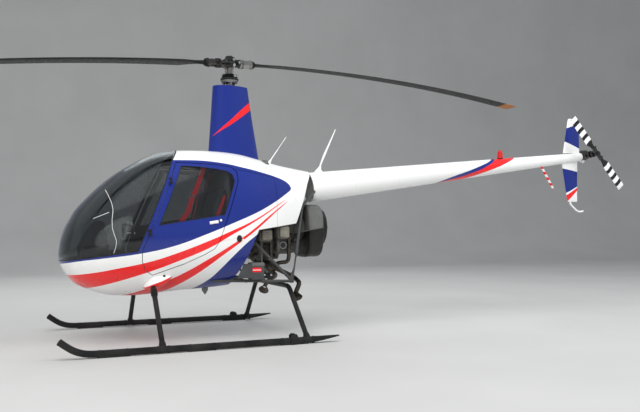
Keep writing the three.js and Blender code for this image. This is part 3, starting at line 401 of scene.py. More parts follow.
# %% Sections
# Each row: distance aft, belly, crown, half width, height of the widest place, squareness above and below it
SECTIONS = np.array([(-1.566, 0.805, 0.805, 0.0, 0.805, 2.0, 2.0),
    (-1.563, 0.765, 0.845, 0.07, 0.805, 2.0, 2.0), (-1.545, 0.694, 0.948, 0.185, 0.812, 2.0, 2.0),
    (-1.5, 0.62, 1.062, 0.3, 0.83, 2.1, 2.1), (-1.435, 0.54, 1.178, 0.38, 0.85, 2.1, 2.1),
    (-1.345, 0.49, 1.282, 0.44, 0.87, 2.15, 2.15), (-1.23, 0.446, 1.398, 0.488, 0.895, 2.2, 2.2),
    (-1.1, 0.418, 1.506, 0.522, 0.92, 2.3, 2.2), (-0.95, 0.411, 1.602, 0.546, 0.945, 2.4, 2.25),
    (-0.8, 0.418, 1.682, 0.558, 0.965, 2.45, 2.3), (-0.65, 0.432, 1.729, 0.56, 0.975, 2.5, 2.3),
    (-0.5, 0.444, 1.747, 0.56, 0.985, 2.5, 2.3), (-0.3, 0.454, 1.752, 0.56, 0.99, 2.5, 2.3),
    (-0.1, 0.47, 1.746, 0.556, 1.0, 2.5, 2.3), (0.06, 0.5, 1.728, 0.54, 1.03, 2.5, 2.3),
    (0.2, 0.56, 1.698, 0.505, 1.06, 2.5, 2.3), (0.35, 0.64, 1.662, 0.445, 1.095, 2.4, 2.2),
    (0.5, 0.72, 1.632, 0.372, 1.13, 2.3, 2.2), (0.65, 0.8, 1.608, 0.295, 1.165, 2.2, 2.1),
    (0.78, 0.88, 1.588, 0.225, 1.2, 2.1, 2.0), (0.9, 0.96, 1.572, 0.165, 1.24, 2.0, 2.0)])
NOSE_TIP = SECTIONS[0, 0]
MIDDLE = -0.5
SKIN = 0.024


def smooth_column(at, knots, values):
    """A curve through the values with no overshoot between them (monotone cubic)."""
    steps = np.diff(knots)
    slopes = np.diff(values) / steps
    tangents = np.zeros(len(knots))
    for i in range(1, len(knots) - 1):
        if slopes[i - 1] * slopes[i] > 0:
            tangents[i] = 2 * slopes[i - 1] * slopes[i] / (slopes[i - 1] + slopes[i])
    tangents[0], tangents[-1] = slopes[0], slopes[-1]
    k = int(np.clip(np.searchsorted(knots, at) - 1, 0, len(steps) - 1))
    t = (at - knots[k]) / steps[k]
    return ((2 * t**3 - 3 * t**2 + 1) * values[k] + (t**3 - 2 * t**2 + t) * steps[k] * tangents[k]
        + (3 * t**2 - 2 * t**3) * values[k + 1] + (t**3 - t**2) * steps[k] * tangents[k + 1])


def section(distance):
    """The section's row at a distance aft. Near the round nose sizes grow with the distance's root."""
    root = math.sqrt(max(distance - NOSE_TIP, 0.0))
    roots = np.sqrt(SECTIONS[:, 0] - NOSE_TIP)
    return [smooth_column(root, roots, SECTIONS[:, column]) for column in range(1, 7)]


def skin_point(distance, turn, inset=0.0):
    """A point of the skin: distance aft, and how far round, where 0 is starboard and 0.25 the crown."""
    belly, crown, half, wide, over, under = section(distance)
    cos, sin = math.cos(2 * math.pi * turn), math.sin(2 * math.pi * turn)
    power = 2 / (over if sin >= 0 else under)
    height = crown - wide if sin >= 0 else wide - belly
    x = distance
    if distance < MIDDLE:
        x = MIDDLE + (distance - MIDDLE) * (1 - inset / (MIDDLE - NOSE_TIP))
    y = math.copysign(abs(cos) ** power, cos) * max(half - inset, 0.0)
    z = wide + math.copysign(abs(sin) ** power, sin) * max(height - inset, 0.0)
    return x, y, z


# %% A rolled sheet
def rolled(name, around, along, where, close="both"):
    """A grid of faces whose corner (u, v), both from 0 to 1, is moved to where(u, v). u closes on itself."""
    piece = started(name, bpy.ops.mesh.primitive_grid_add, x_subdivisions=around, y_subdivisions=along,
        size=1)
    for vertex in piece.data.vertices:
        vertex.co = where(vertex.co.x + 0.5, vertex.co.y + 0.5)
    edit(piece, "VERT")
    bpy.ops.mesh.remove_doubles(threshold=1e-5)
    if close == "both":
        bpy.ops.mesh.select_all(action="DESELECT")
        bpy.ops.mesh.select_non_manifold()
        bpy.ops.mesh.edge_face_add()
        bpy.ops.mesh.select_all(action="SELECT")
        bpy.ops.mesh.remove_doubles(threshold=1e-5)
    close_outwards()
    return piece


AROUND, ALONG = 112, 84
TAIL_END = 0.88


def body_form(name, inset):
    """The whole body as a closed form, from the nose to where the tail cowl ends."""
    first = math.sqrt(0.1 * max(inset, 0))
    last = math.sqrt(TAIL_END + (inset > 0) * 0.04 - NOSE_TIP)

    def where(u, v):
        return skin_point(NOSE_TIP + (first + v * (last - first)) ** 2, u, inset)

    return rolled(name, AROUND, ALONG, where)


# %% Cutting
def copy_of(piece, name):
    alone(piece)
    bpy.ops.object.duplicate()
    bpy.context.object.name = name
    return bpy.context.object


def carve(piece, cutter, way="DIFFERENCE", keep_cutter=False):
    """Cuts a closed form with another, or keeps only what both hold."""
    alone(piece)
    cut = piece.modifiers.new("cut", "BOOLEAN")
    cut.operation = way
    cut.solver = "MANIFOLD"
    cut.object = cutter
    bpy.ops.object.modifier_apply(modifier="cut")
    if not keep_cutter:
        bpy.data.objects.remove(cutter)
    return piece


def plate(name, outline, low, high, axis="y"):
    """A flat piece with an outline seen from the side (y), the front (x) or above (z), from low to high."""
    piece = started(name, bpy.ops.mesh.primitive_circle_add, vertices=len(outline), fill_type="NGON")
    stand = {"x": lambda a, b: (low, a, b), "y": lambda a, b: (a, low, b),
        "z": lambda a, b: (a, b, low)}[axis]
    for vertex, (a, b) in zip(piece.data.vertices, outline):
        vertex.co = stand(a, b)
    edit(piece)
    move = {"x": (high - low, 0, 0), "y": (0, high - low, 0), "z": (0, 0, high - low)}[axis]
    bpy.ops.mesh.extrude_region_move(TRANSFORM_OT_translate={"value": move})
    close_outwards()
    return piece


def grown(outline, distance):
    """An outline moved outwards by a distance, corner by corner."""
    points = [Vector(p) for p in outline]
    area = sum(a.x * b.y - b.x * a.y for a, b in zip(points, points[1:] + points[:1]))
    side = 1 if area > 0 else -1
    moved = []
    for i, point in enumerate(points):
        before = (point - points[i - 1]).normalized()
        after = (points[(i + 1) % len(points)] - point).normalized()
        normal = Vector((before.y + after.y, -before.x - after.x)).normalized() * side
        lean = max(0.35, normal.dot(Vector((before.y, -before.x)) * side))
        moved.append(point + normal * (distance / lean))
    return [tuple(point) for point in moved]


def rectangle(x, z, far_x, far_z):
    return [(x, z), (far_x, z), (far_x, far_z), (x, far_z)]


def rounded(outline, radius, steps=5):
    """An outline with each corner turned into an arc-like curve, no longer than half its sides."""
    points = [Vector(p) for p in outline]
    smooth = []
    for i, corner in enumerate(points):
        before, after = points[i - 1], points[(i + 1) % len(points)]
        start = corner + (before - corner).normalized() * min(radius, (before - corner).length * 0.45)
        end = corner + (after - corner).normalized() * min(radius, (after - corner).length * 0.45)
        for step in range(steps + 1):
            t = step / steps
            smooth.append(tuple(start * (1 - t) ** 2 + corner * 2 * t * (1 - t) + end * t**2))
    return smooth


def shaded(piece, angle=35):
    alone(piece)
    bpy.ops.object.shade_smooth_by_angle(angle=math.radians(angle))


def hand_over(piece, slot, finish, *stands_for, body="airframe", angle=35):
    """Finishes a piece: its place goes into its mesh and into the frame, and it rides on its body."""
    settle(piece)
    piece.data.transform(Matrix.Translation(HOME))
    shaded(piece, angle)
    if finish:
        piece.data.materials.clear()
        piece.data.materials.append(finish)
    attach(piece, body)
    if stands_for:
        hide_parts(*stands_for)
    return piece


def mirrored(piece, name):
    """The starboard copy of a port piece."""
    twin = copy_of(piece, name)
    twin.scale.y = -1
    settle(twin)
    edit(twin)
    bpy.ops.mesh.flip_normals()
    close_edit()
    return twin


def hand_over_pair(piece, slot, finish, node=None, body="airframe", angle=35):
    """Hands over a port piece and its starboard copy. Names that say left say right for the copy."""
    twin = mirrored(piece, piece.name.replace("left", "right"))
    for item, side in ((piece, "left"), (twin, "right")):
        nodes = [f"{node}_{side}"] if node else []
        hand_over(item, slot, finish, *nodes, body=body.replace("left", side), angle=angle)
    return twin


# %% Panels
SIDEWAYS = 0.9
GAP = 0.0015
POST_FOOT, POST_HEAD = (-0.955, 0.822), (-0.634, 1.617)
BODY_OUTLINE = [(-1.7, 0.3), (-0.06, 0.3), (-0.06, 0.56), (0.022, 0.74), (0.128, 1.0), (0.56, 1.06),
    (0.725, 1.44), (0.8, 1.56), (0.815, 1.95), (-1.7, 1.95)]
WINDSHIELD_OUTLINE = [(-1.7, 0.722), (-1.56, 0.742), POST_FOOT, POST_HEAD, (-0.535, 1.762), (-0.5, 1.95),
    (-1.7, 1.95)]
DOOR_OUTLINE = [(-0.914, 0.822), (-0.912, 0.735), (-0.88, 0.66), (-0.82, 0.616), (-0.549, 0.71),
    (-0.371, 0.79), (-0.29, 0.838), (-0.25, 0.9), (-0.165, 1.14), (-0.058, 1.45), (-0.062, 1.53),
    (-0.105, 1.572), (-0.25, 1.592), (-0.599, 1.603)]
WINDOW_OUTLINE = [(-0.775, 1.046), (-0.2, 1.138), (-0.092, 1.44), (-0.105, 1.5), (-0.15, 1.532),
    (-0.26, 1.552), (-0.4, 1.568), (-0.56, 1.572)]
ROOF_OUTLINE = [(-0.72, 1.59), (-0.25, 1.58), (-0.09, 1.56), (0.33, 1.49), (0.33, 1.95), (-0.72, 1.95)]
COWL_OUTLINE = [(0.33, 0.9), (0.9, 0.9), (0.9, 1.95), (0.33, 1.95)]
SIDE_OUTLINE = [(-0.33, 0.88), (0.33, 1.01), (0.33, 1.49), (-0.09, 1.56), (-0.25, 1.58), (-0.33, 1.582)]
DOOR_GAP = 0.006
GLASS = 0.006
WINDSHIELD_TRIM, WINDOW_TRIM = 0.0035, 0.003


def across(outline):
    return plate("cutter", outline, -SIDEWAYS, SIDEWAYS)


def slab(low, high):
    """A cutter that reaches over the whole machine, between two distances sideways."""
    return plate("cutter", [(-2, 0), (2, 0), (2, 2), (-2, 2)], low, high)


outer = body_form("outer", 0.0)
inner = body_form("inner", SKIN)
shell = carve(copy_of(outer, "shell"), inner, keep_cutter=True)
print("body shell", len(shell.data.polygons), "faces")
carve(shell, across(BODY_OUTLINE), "INTERSECT")
door_hole = plate("door_hole", grown(DOOR_OUTLINE, DOOR_GAP), -SIDEWAYS, SIDEWAYS)
open_shell = carve(copy_of(shell, "open_shell"), door_hole)

# Rows of the bulge over the port front leg: distance aft, sideways, height, half width and half height
LEG_BULGE = np.array([(-0.888, -0.392, 0.506, 0.01, 0.008), (-0.862, -0.4, 0.522, 0.078, 0.032),
    (-0.815, -0.402, 0.543, 0.116, 0.054), (-0.755, -0.405, 0.556, 0.108, 0.058),
    (-0.695, -0.415, 0.576, 0.08, 0.038), (-0.646, -0.432, 0.597, 0.01, 0.008)])


def bulge_point(u, v):
    row = v * (len(LEG_BULGE) - 1)
    x, y, z, wide, high = (smooth_column(row, np.arange(len(LEG_BULGE)), column) for column in LEG_BULGE.T)
    return x, y + wide * math.cos(2 * math.pi * u), z + high * math.sin(2 * math.pi * u)


tub = copy_of(open_shell, "tub_skin")
for outline in (WINDSHIELD_OUTLINE, ROOF_OUTLINE, COWL_OUTLINE, SIDE_OUTLINE):
    carve(tub, across(outline))
bulge = carve(rolled("bulge", 40, 30, bulge_point), inner, keep_cutter=True)
bulge_right = mirrored(bulge, "bulge_right")
hand_over(tub, "paint_white", livery, "cabin_tub")
hand_over(joined("leg_bulges", [bulge, bulge_right]), "paint_white", bulge_livery())

roof = carve(copy_of(open_shell, "roof_skin"), across(grown(ROOF_OUTLINE, -GAP)), "INTERSECT")
carve(roof, across(WINDSHIELD_OUTLINE))
hand_over(roof, "paint_white", livery, "cabin_roof")

cowl = carve(copy_of(open_shell, "cowl_skin"), across(grown(COWL_OUTLINE, -GAP)), "INTERSECT")
hand_over(cowl, "paint_white", livery, "tail_cowl")

side = carve(copy_of(open_shell, "side_skin_left"), across(grown(SIDE_OUTLINE, -GAP)), "INTERSECT")
carve(side, slab(0, SIDEWAYS))
side_right = hand_over_pair(side, "paint_blue", livery, "body_side")

door = carve(copy_of(shell, "door_skin_left"), plate("cutter", DOOR_OUTLINE, -SIDEWAYS, 0), "INTERSECT")
carve(door, plate("cutter", WINDOW_OUTLINE, -SIDEWAYS, 0))
door_right = hand_over_pair(door, "paint_blue", livery, "door", body="left_door")
print("panels cut")

# %% Glass
def clear_sheet():
    """Tinted acrylic that lets lamps light the cabin behind it."""
    finish = Finish("tinted_acrylic", (0.3, 0.325, 0.335), 0.03, Transmission_Weight=1.0, IOR=1.45)
    clear = finish.node("BsdfTransparent", {"Color": (0.85, 0.87, 0.88, 1)})
    shadow = finish.node("LightPath").outputs["Is Shadow Ray"]
    mix = finish.node("MixShader", {0: shadow, 1: finish.shader.outputs[0], 2: clear.outputs[0]})
    output = finish.tree.nodes["Material Output"]
    finish.tree.links.new(mix.outputs[0], output.inputs["Surface"])
    return finish.material


glass = clear_sheet()
BOW_HALF = 0.014
bow = carve(copy_of(shell, "bow_strip"), across(grown(WINDSHIELD_OUTLINE, -GAP)), "INTERSECT")
carve(bow, slab(0.001 - BOW_HALF, BOW_HALF - 0.001), "INTERSECT")
film = carve(body_form("film", -0.0014), outer, keep_cutter=True)
thin_inner = body_form("thin_inner", GLASS)
pane_shell = carve(outer, thin_inner)
pane = carve(copy_of(pane_shell, "windshield_pane_left"), across(grown(WINDSHIELD_OUTLINE, -GAP)),
    "INTERSECT")
carve(pane, slab(-BOW_HALF, SIDEWAYS))
hand_over_pair(pane, "glass_tinted", glass, "windshield")
window = carve(pane_shell, plate("cutter", grown(WINDOW_OUTLINE, -GAP), -SIDEWAYS, 0), "INTERSECT")
window.name = "door_pane_left"
hand_over_pair(window, "glass_tinted", glass, "door_window", body="left_door")


def trim(name, outline, half_width):
    """A thin strip on the skin that follows an outline."""
    strip = carve(copy_of(film, name), across(grown(outline, half_width)), "INTERSECT")
    return carve(strip, across(grown(outline, -half_width)))


def black_strip():
    finish = Finish("rubber_strip", (0.01, 0.01, 0.011), 0.55)
    finish.gloss(0.45, 0.7, 40)
    finish.grain(0.0004, 0.3, 300, 2)
    return finish.material


strip_rubber = black_strip()
hand_over(trim("windshield_trim", WINDSHIELD_OUTLINE, WINDSHIELD_TRIM), "black_plastic", strip_rubber)
window_trim = carve(trim("window_trim_left", WINDOW_OUTLINE, WINDOW_TRIM), slab(-SIDEWAYS, 0), "INTERSECT")
hand_over_pair(window_trim, "black_plastic", strip_rubber, body="left_door")
hand_over(bow, "paint_blue", livery, "windshield_bow")
for leftover in (open_shell, shell, inner, film):
    bpy.data.objects.remove(leftover)
print("glass hung")

# %% [markdown]
# The lining
#
# Paint is only on the outside of the skin. Inside, the cabin and the bay are lined with dark cloth. It could
# be a thin sheet of its own; here the faces that look inwards get a second material, so the walls keep their
# thickness.

# %% Lining
def lining_cloth():
    finish = Finish("lining_cloth", (0.03, 0.03, 0.031), 0.85, Specular_IOR_Level=0.25)
    tone = finish.spread(finish.noise(14, 5), 0, 1)
    finish.colour(finish.blend(tone, (0.022, 0.022, 0.023), (0.042, 0.041, 0.04)))
    finish.gloss(0.75, 0.95, 60)
    finish.grain(0.0005, 0.4, 700, 2)
    return finish.material


lining = lining_cloth()
for skin in (tub, roof, cowl, side, side_right, door, door_right, bow):
    skin.data.materials.append(lining)
    for face in skin.data.polygons:
        x, y, z = face.center - HOME
        outwards = Vector((min(x - MIDDLE, 0), y,
            z - np.interp(x, SECTIONS[:, 0], SECTIONS[:, 4]))).normalized()
        face.material_index = int(face.normal.dot(outwards) < -0.4)
print("inner faces lined")

# %% [markdown]
# Makers of simple forms
#
# Most of the machine's other parts are tubes, turned parts, blocks and streamlined sections. Each kind has a
# maker: a rod between two points, a pipe that follows a bent path, a lathe that turns a profile, a block with
# soft edges, and a wing through a few sections. A maker only gives the form; the finish and the body come
# when it is handed over.

# %% Rods, pipes and blocks
def rod(name, start, end, radius, sides=24):
    """A round bar between two points."""
    start, end = Vector(start), Vector(end)
    piece = started(name, bpy.ops.mesh.primitive_cylinder_add, vertices=sides, radius=radius,
        depth=(end - start).length, location=(start + end) / 2)
    piece.rotation_euler = (end - start).to_track_quat("Z", "Y").to_euler()
    settle(piece)
    return piece


def bent_path(points, bend):
    """The path with each corner turned into a short curve that starts a bend's length before it."""
    points = [Vector(p) for p in points]
    path = [points[0]]
    for before, corner, after in zip(points, points[1:], points[2:]):
        start = corner + (before - corner).normalized() * min(bend, (before - corner).length * 0.49)
        end = corner + (after - corner).normalized() * min(bend, (after - corner).length * 0.49)
        for step in range(7):
            t = step / 6
            path.append(start * (1 - t) ** 2 + corner * 2 * t * (1 - t) + end * t**2)
    path.append(points[-1])
    return path


def pipe(name, points, radius, bend=0.04, sides=4, radii=None):
    """A bent pipe along a path: a curve with a round bevel, closed at both ends."""
    path = bent_path(points, bend)
    piece = started(name, bpy.ops.curve.primitive_nurbs_path_add)
    curve = piece.data
    curve.splines.clear()
    spline = curve.splines.new("POLY")
    spline.points.add(len(path) - 1)
    for number, (spot, place) in enumerate(zip(spline.points, path)):
        spot.co = (*place, 1)
        spot.radius = 1 if radii is None else np.interp(number / (len(path) - 1), *zip(*radii))
    curve.bevel_depth = radius
    curve.bevel_resolution = sides
    curve.use_fill_caps = True
    curve.twist_mode = "MINIMUM"
    alone(piece)
    bpy.ops.object.convert(target="MESH")
    edit(piece, "VERT")
    bpy.ops.mesh.remove_doubles(threshold=1e-5)
    close_outwards()
    return piece


def block(name, low, high, soft=0.003, steps=2):
    """A box with softened edges."""
    middle, size = [(a + b) / 2 for a, b in zip(low, high)], [b - a for a, b in zip(low, high)]
    piece = started(name, bpy.ops.mesh.primitive_cube_add, size=1, location=middle, scale=size)
    settle(piece)
    return softened(piece, soft, steps)


def softened(piece, width, steps=2, angle=30):
    if width:
        bevel = piece.modifiers.new("soft", "BEVEL")
        bevel.width = width
        bevel.segments = steps
        bevel.limit_method = "ANGLE"
        bevel.angle_limit = math.radians(angle)
        settle(piece)
    return piece


def lathe(name, profile, start, end, around=40):
    """A profile of (distance along, radius) turned about the line from start towards end."""
    start, end = Vector(start), Vector(end)
    turn = (end - start).to_track_quat("Z", "Y")
    count = len(profile) - 1

    def where(u, v):
        along, radius = profile[round(v * count)]
        angle = 2 * math.pi * u
        return start + turn @ Vector((radius * math.cos(angle), radius * math.sin(angle), along))

    hollow = profile[0] == profile[-1]
    return rolled(name, around, count, where, close="none" if hollow else "both")


def turned(name, profile, start, end, around=40):
    """A solid lathe form: the profile is closed to the axis at both ends."""
    return lathe(name, [(profile[0][0], 0), *profile, (profile[-1][0], 0)], start, end, around)


def streamline(chord, thickness, turn):
    """A point of a streamlined section, whose turn from 0 to 1 runs from the tail over the top and back."""
    angle = 2 * math.pi * turn
    s = (1 + math.cos(angle)) / 2
    half = 5 * thickness * (0.2969 * math.sqrt(s) - 0.126 * s - 0.3516 * s**2 + 0.2843 * s**3 - 0.0936 * s**4)
    return s * chord, half if angle <= math.pi else -half


def wing(name, sections, place, around=40, steps=6):
    """A wing through sections of (station, chord, thickness, ...). place gives each point of a section."""
    stations = []
    for before, after in zip(sections, sections[1:]):
        stations += [tuple(a + (b - a) * i / steps for a, b in zip(before, after)) for i in range(steps)]
    stations.append(sections[-1])

    def where(u, v):
        row = stations[round(v * (len(stations) - 1))]
        back, up = streamline(row[1], row[2], u)
        return place(row, back, up)

    return rolled(name, around, len(stations) - 1, where)


def both_sides(name, parts):
    """The parts and their mirror images as one mesh."""
    piece = joined(name, parts)
    return joined(name, [piece, mirrored(piece, name + "_twin")])


def placed(piece, matrix):
    piece.data.transform(matrix)
    return piece


# %% [markdown]
# Metals, plastics and plain paints
#
# The frame is painted steel, the rotor's head is dark steel with bright bolts and links, the engine is cast
# and dull, and the exhaust has turned brown with heat. Bright parts get fine brushed scratches and a little
# oil film; cast parts get a coarse grain; paint gets small chips and patches of wear.

# %% Plain finishes
def painted_metal(name, colour, worn, roughness=0.42):
    finish = Finish(name, colour, roughness, Specular_IOR_Level=0.3)
    chips = finish.spread(finish.noise(34, 6, rough=0.7), 0, 1, 0.66, 0.72)
    dust = finish.spread(finish.noise(5), 0, 0.35)
    base = finish.blend(dust, colour, worn)
    finish.colour(finish.blend(chips, base, worn))
    finish.gloss(roughness - 0.1, roughness + 0.15, 12)
    finish.grain(0.0006, 0.2, 420, 2)
    return finish.material


def bare_metal(name, colour, roughness, grain=220, stain=(0.25, 0.22, 0.18), stained=0.25):
    finish = Finish(name, colour, roughness, 1.0)
    film = finish.spread(finish.noise(16, 5), 0, stained)
    finish.colour(finish.blend(film, colour, stain))
    finish.gloss(roughness - 0.08, roughness + 0.14, 60, 4)
    finish.grain(0.0005, 0.25, grain, 3)
    return finish.material


def cast_metal(name, colour, roughness=0.6, metal=0.35):
    finish = Finish(name, colour, roughness, metal)
    grime = finish.spread(finish.noise(11, 6), 0, 0.7)
    finish.colour(finish.blend(grime, colour, tuple(c * 0.32 for c in colour)))
    finish.gloss(roughness - 0.12, roughness + 0.15, 30)
    finish.grain(0.0012, 0.35, 300, 4)
    return finish.material


def moulded(name, colour, roughness):
    finish = Finish(name, colour, roughness)
    finish.colour(finish.blend(finish.spread(finish.noise(7), 0, 1), colour, tuple(c * 1.5 for c in colour)))
    finish.gloss(roughness - 0.08, roughness + 0.1, 25)
    finish.grain(0.0005, 0.3, 500, 2)
    return finish.material


white_paint = gloss_paint("white_gloss").material
black_paint = painted_metal("black_skid_paint", (0.007, 0.007, 0.0075), (0.05, 0.049, 0.045))
frame_paint = painted_metal("grey_frame_paint", (0.06, 0.062, 0.06), (0.12, 0.118, 0.11), 0.48)
dark_paint = painted_metal("dark_box_paint", (0.05, 0.052, 0.055), (0.11, 0.11, 0.105), 0.5)
bright_steel = bare_metal("bright_steel", (0.5, 0.5, 0.485), 0.26, stained=0.6)
dull_alloy = bare_metal("dull_alloy", (0.42, 0.42, 0.41), 0.42, 160)
polished = bare_metal("polished_steel", (0.78, 0.78, 0.76), 0.2, stained=0.3)
dark_steel = bare_metal("dark_steel", (0.13, 0.125, 0.12), 0.36, 180, (0.05, 0.045, 0.04), 0.6)
engine_cast = cast_metal("engine_casting", (0.13, 0.125, 0.115))
cover_cast = cast_metal("rocker_cover_casting", (0.25, 0.235, 0.19), 0.5, 0.2)
burnt_steel = bare_metal("heated_steel", (0.15, 0.135, 0.115), 0.42, 120, (0.05, 0.036, 0.027), 0.8)
black_rubber = moulded("black_rubber", (0.012, 0.012, 0.013), 0.62)
black_plastic = moulded("black_plastic", (0.018, 0.018, 0.02), 0.42)
print("plain finishes mixed")

# %% [markdown]
# The mast fairing
#
# A tall tapered cover hides the rotor mast. Its section is a teardrop that is round in front and narrower
# behind, and it leans back towards its foot. It could be lofted from four rings; the rolled sheet does it in
# one step, and a solidify modifier gives the wall, open at the top where the mast comes out.

# %% Fairing
FAIRING_WALL = 0.006
# Height, front, back and half width
FAIRING = [(1.56, -0.222, 0.312, 0.118), (1.7, -0.213, 0.29, 0.112), (2.06, -0.188, 0.228, 0.1),
    (2.39, -0.167, 0.178, 0.09)]


def fairing_point(u, v):
    height, front, back, half = (np.interp(v, [0, 0.17, 0.6, 1], column) for column in zip(*FAIRING))
    angle = 2 * math.pi * u
    x = (front + back) / 2 + (back - front) / 2 * math.cos(angle)
    return x, half * math.sin(angle) * (1 - 0.3 * math.cos(angle)), height


def fairing_finish():
    """Blue, with one red stripe that starts as a point in front and widens to the trailing edge."""
    finish = gloss_paint("fairing_livery", BLUE)
    top = [(-0.19, 1.893), (-0.18, 1.902), (-0.112, 1.97), (-0.013, 2.06), (0.096, 2.163), (0.24, 2.285)]
    foot = [(-0.19, 1.893), (-0.18, 1.9), (-0.112, 1.949), (-0.013, 2.012), (0.096, 2.091), (0.24, 2.2)]
    red = band(finish, foot, top)
    ahead = finish.math("GREATER_THAN", finish.axis("x"), -0.185)
    finish.colour(finish.blend(finish.math("MULTIPLY", red, ahead), BLUE, RED))
    return finish.material


fairing = rolled("mast_cover", 72, 24, fairing_point, close="none")
wall = fairing.modifiers.new("wall", "SOLIDIFY")
wall.thickness = FAIRING_WALL
wall.offset = -1
hand_over(fairing, "paint_blue", fairing_finish(), "mast_fairing", angle=50)

# %% [markdown]
# The tail boom and its fins
#
# The boom is a long riveted cone of thin sheet. It is a lathe form with faint raised bands where its bays
# overlap. The livery ends on it in a swoosh of blue and red, drawn with the same kind of side-view lines as
# on the body.

# %% Boom
BOOM_FRONT, BOOM_END = Vector((0.82, 0, 1.425)), Vector((4.33, 0, 1.848))
BOOM_RADII = (0.15, 0.05)
BAYS = 7
SWOOSH_START, SWOOSH_END = 2.31, 3.4


def boom_at(x):
    t = (x - BOOM_FRONT.x) / (BOOM_END.x - BOOM_FRONT.x)
    return BOOM_FRONT.lerp(BOOM_END, t), BOOM_RADII[0] + (BOOM_RADII[1] - BOOM_RADII[0]) * t


def boom_finish():
    finish = gloss_paint("boom_livery")
    blue_top = [(2.3, 1.497), (2.426, 1.546), (2.778, 1.669), (3.031, 1.777), (3.16, 1.87)]
    blue_foot = [(2.3, 1.493), (2.364, 1.51), (2.694, 1.598), (2.973, 1.714), (3.1, 1.8)]
    red_foot = [(2.45, 1.5), (2.6, 1.535), (2.881, 1.618), (3.124, 1.705), (3.334, 1.8), (3.4, 1.84)]
    blue = finish.math("MAXIMUM", band(finish, blue_foot, blue_top), 0.0)
    red = finish.math("MAXIMUM", band(finish, red_foot, blue_foot), 0.0)
    near = finish.between("x", SWOOSH_START, SWOOSH_END)
    colour = finish.blend(finish.math("MULTIPLY", red, near), WHITE, RED)
    finish.colour(finish.blend(finish.math("MULTIPLY", blue, near), colour, BLUE))
    return finish.material


length = (BOOM_END - BOOM_FRONT).length
profile = [(0.0, BOOM_RADII[0] - 0.012), (0.0, BOOM_RADII[0])]
for bay in range(1, BAYS):
    along = length * bay / BAYS
    radius = BOOM_RADII[0] + (BOOM_RADII[1] - BOOM_RADII[0]) * bay / BAYS
    profile += [(along - 0.026, radius + 0.0002), (along - 0.025, radius + 0.0012), (along, radius + 0.0008),
        (along + 0.001, radius)]
profile += [(length - 0.02, BOOM_RADII[1] + 0.0006), (length - 0.006, BOOM_RADII[1] - 0.003),
    (length, BOOM_RADII[1] - 0.012), (length - 0.015, BOOM_RADII[1] - 0.016),
    (length - 0.05, BOOM_RADII[1] - 0.012)]
boom = lathe("boom_skin", profile + [profile[0]], BOOM_FRONT, BOOM_END, 64)
hand_over(boom, "paint_white", boom_finish(), "tail_boom")

# %% Fins, stabilizer and bumper
def fin_finish():
    finish = gloss_paint("fin_livery")
    edges = [("upper cap", [(4.0, 2.155), (4.141, 2.19), (4.218, 2.215), (4.35, 2.255)]),
        ("upper blue", [(4.0, 2.06), (4.098, 2.021), (4.291, 1.955), (4.35, 1.935)]),
        ("lower blue", [(4.0, 1.712), (4.038, 1.706), (4.268, 1.669), (4.35, 1.655)]),
        ("white line", [(4.0, 1.365), (4.091, 1.408), (4.264, 1.489), (4.35, 1.53)]),
        ("red top", [(4.0, 1.328), (4.091, 1.379), (4.264, 1.476), (4.35, 1.524)]),
        ("red foot", [(4.0, 1.212), (4.122, 1.317), (4.257, 1.433), (4.35, 1.512)])]
    over = {name: above(finish, points) for name, points in edges}
    blue = finish.math("ADD", finish.math("SUBTRACT", over["upper blue"], over["upper cap"]),
        finish.math("SUBTRACT", over["white line"], over["lower blue"]))
    red = finish.math("SUBTRACT", over["red foot"], over["red top"])
    finish.colour(finish.blend(blue, finish.blend(red, WHITE, RED), BLUE))
    return finish.material


fin_paint = fin_finish()


def fin(name, sections, node):
    """An upright fin from rows of height, chord, thickness and leading edge."""
    piece = wing(name, sections, lambda row, back, up: (row[3] + back, up, row[0]))
    return hand_over(piece, "paint_white", fin_paint, node)


fin("fin_upper_skin", [(1.886, 0.245, 0.03, 4.067), (2.27, 0.167, 0.021, 4.145), (2.292, 0.15, 0.016, 4.152),
    (2.3, 0.12, 0.006, 4.166)], "fin_upper")
fin("fin_lower_skin", [(1.31, 0.135, 0.008, 4.128), (1.318, 0.146, 0.018, 4.122), (1.74, 0.226, 0.03, 4.052),
    (1.8, 0.236, 0.03, 4.044)], "fin_lower")
stabilizer = wing("stabilizer_skin",
    [(0.04, 0.276, 0.03, 3.96), (0.72, 0.23, 0.023, 4.006), (0.736, 0.222, 0.018, 4.01),
        (0.742, 0.2, 0.006, 4.02)], lambda row, back, up: (row[3] + back, row[0], 1.816 + up))
hand_over(stabilizer, "paint_white", white_paint, "stabilizer")
bumper = pipe("bumper_tube",
    [(4.165, 0, 1.312), (4.165, 0, 1.284), (4.255, 0, 1.208), (4.298, 0, 1.19), (4.355, 0, 1.2)], 0.0105,
    0.035, 5)
hand_over(bumper, "paint_white", white_paint, "tail_bumper")
print("tail surfaces made")

# %% Beacon, warning rod and antennas
def lens_red():
    finish = Finish("red_lens", (0.72, 0.012, 0.01), 0.12, Transmission_Weight=0.25, IOR=1.49,
        Coat_Weight=0.5)
    ribs = finish.node("TexWave", {"Vector": finish.place, "Scale": 60.0}, bands_direction="Z").outputs["Fac"]
    finish.bump(ribs, 0.0006, 0.3)
    return finish.material


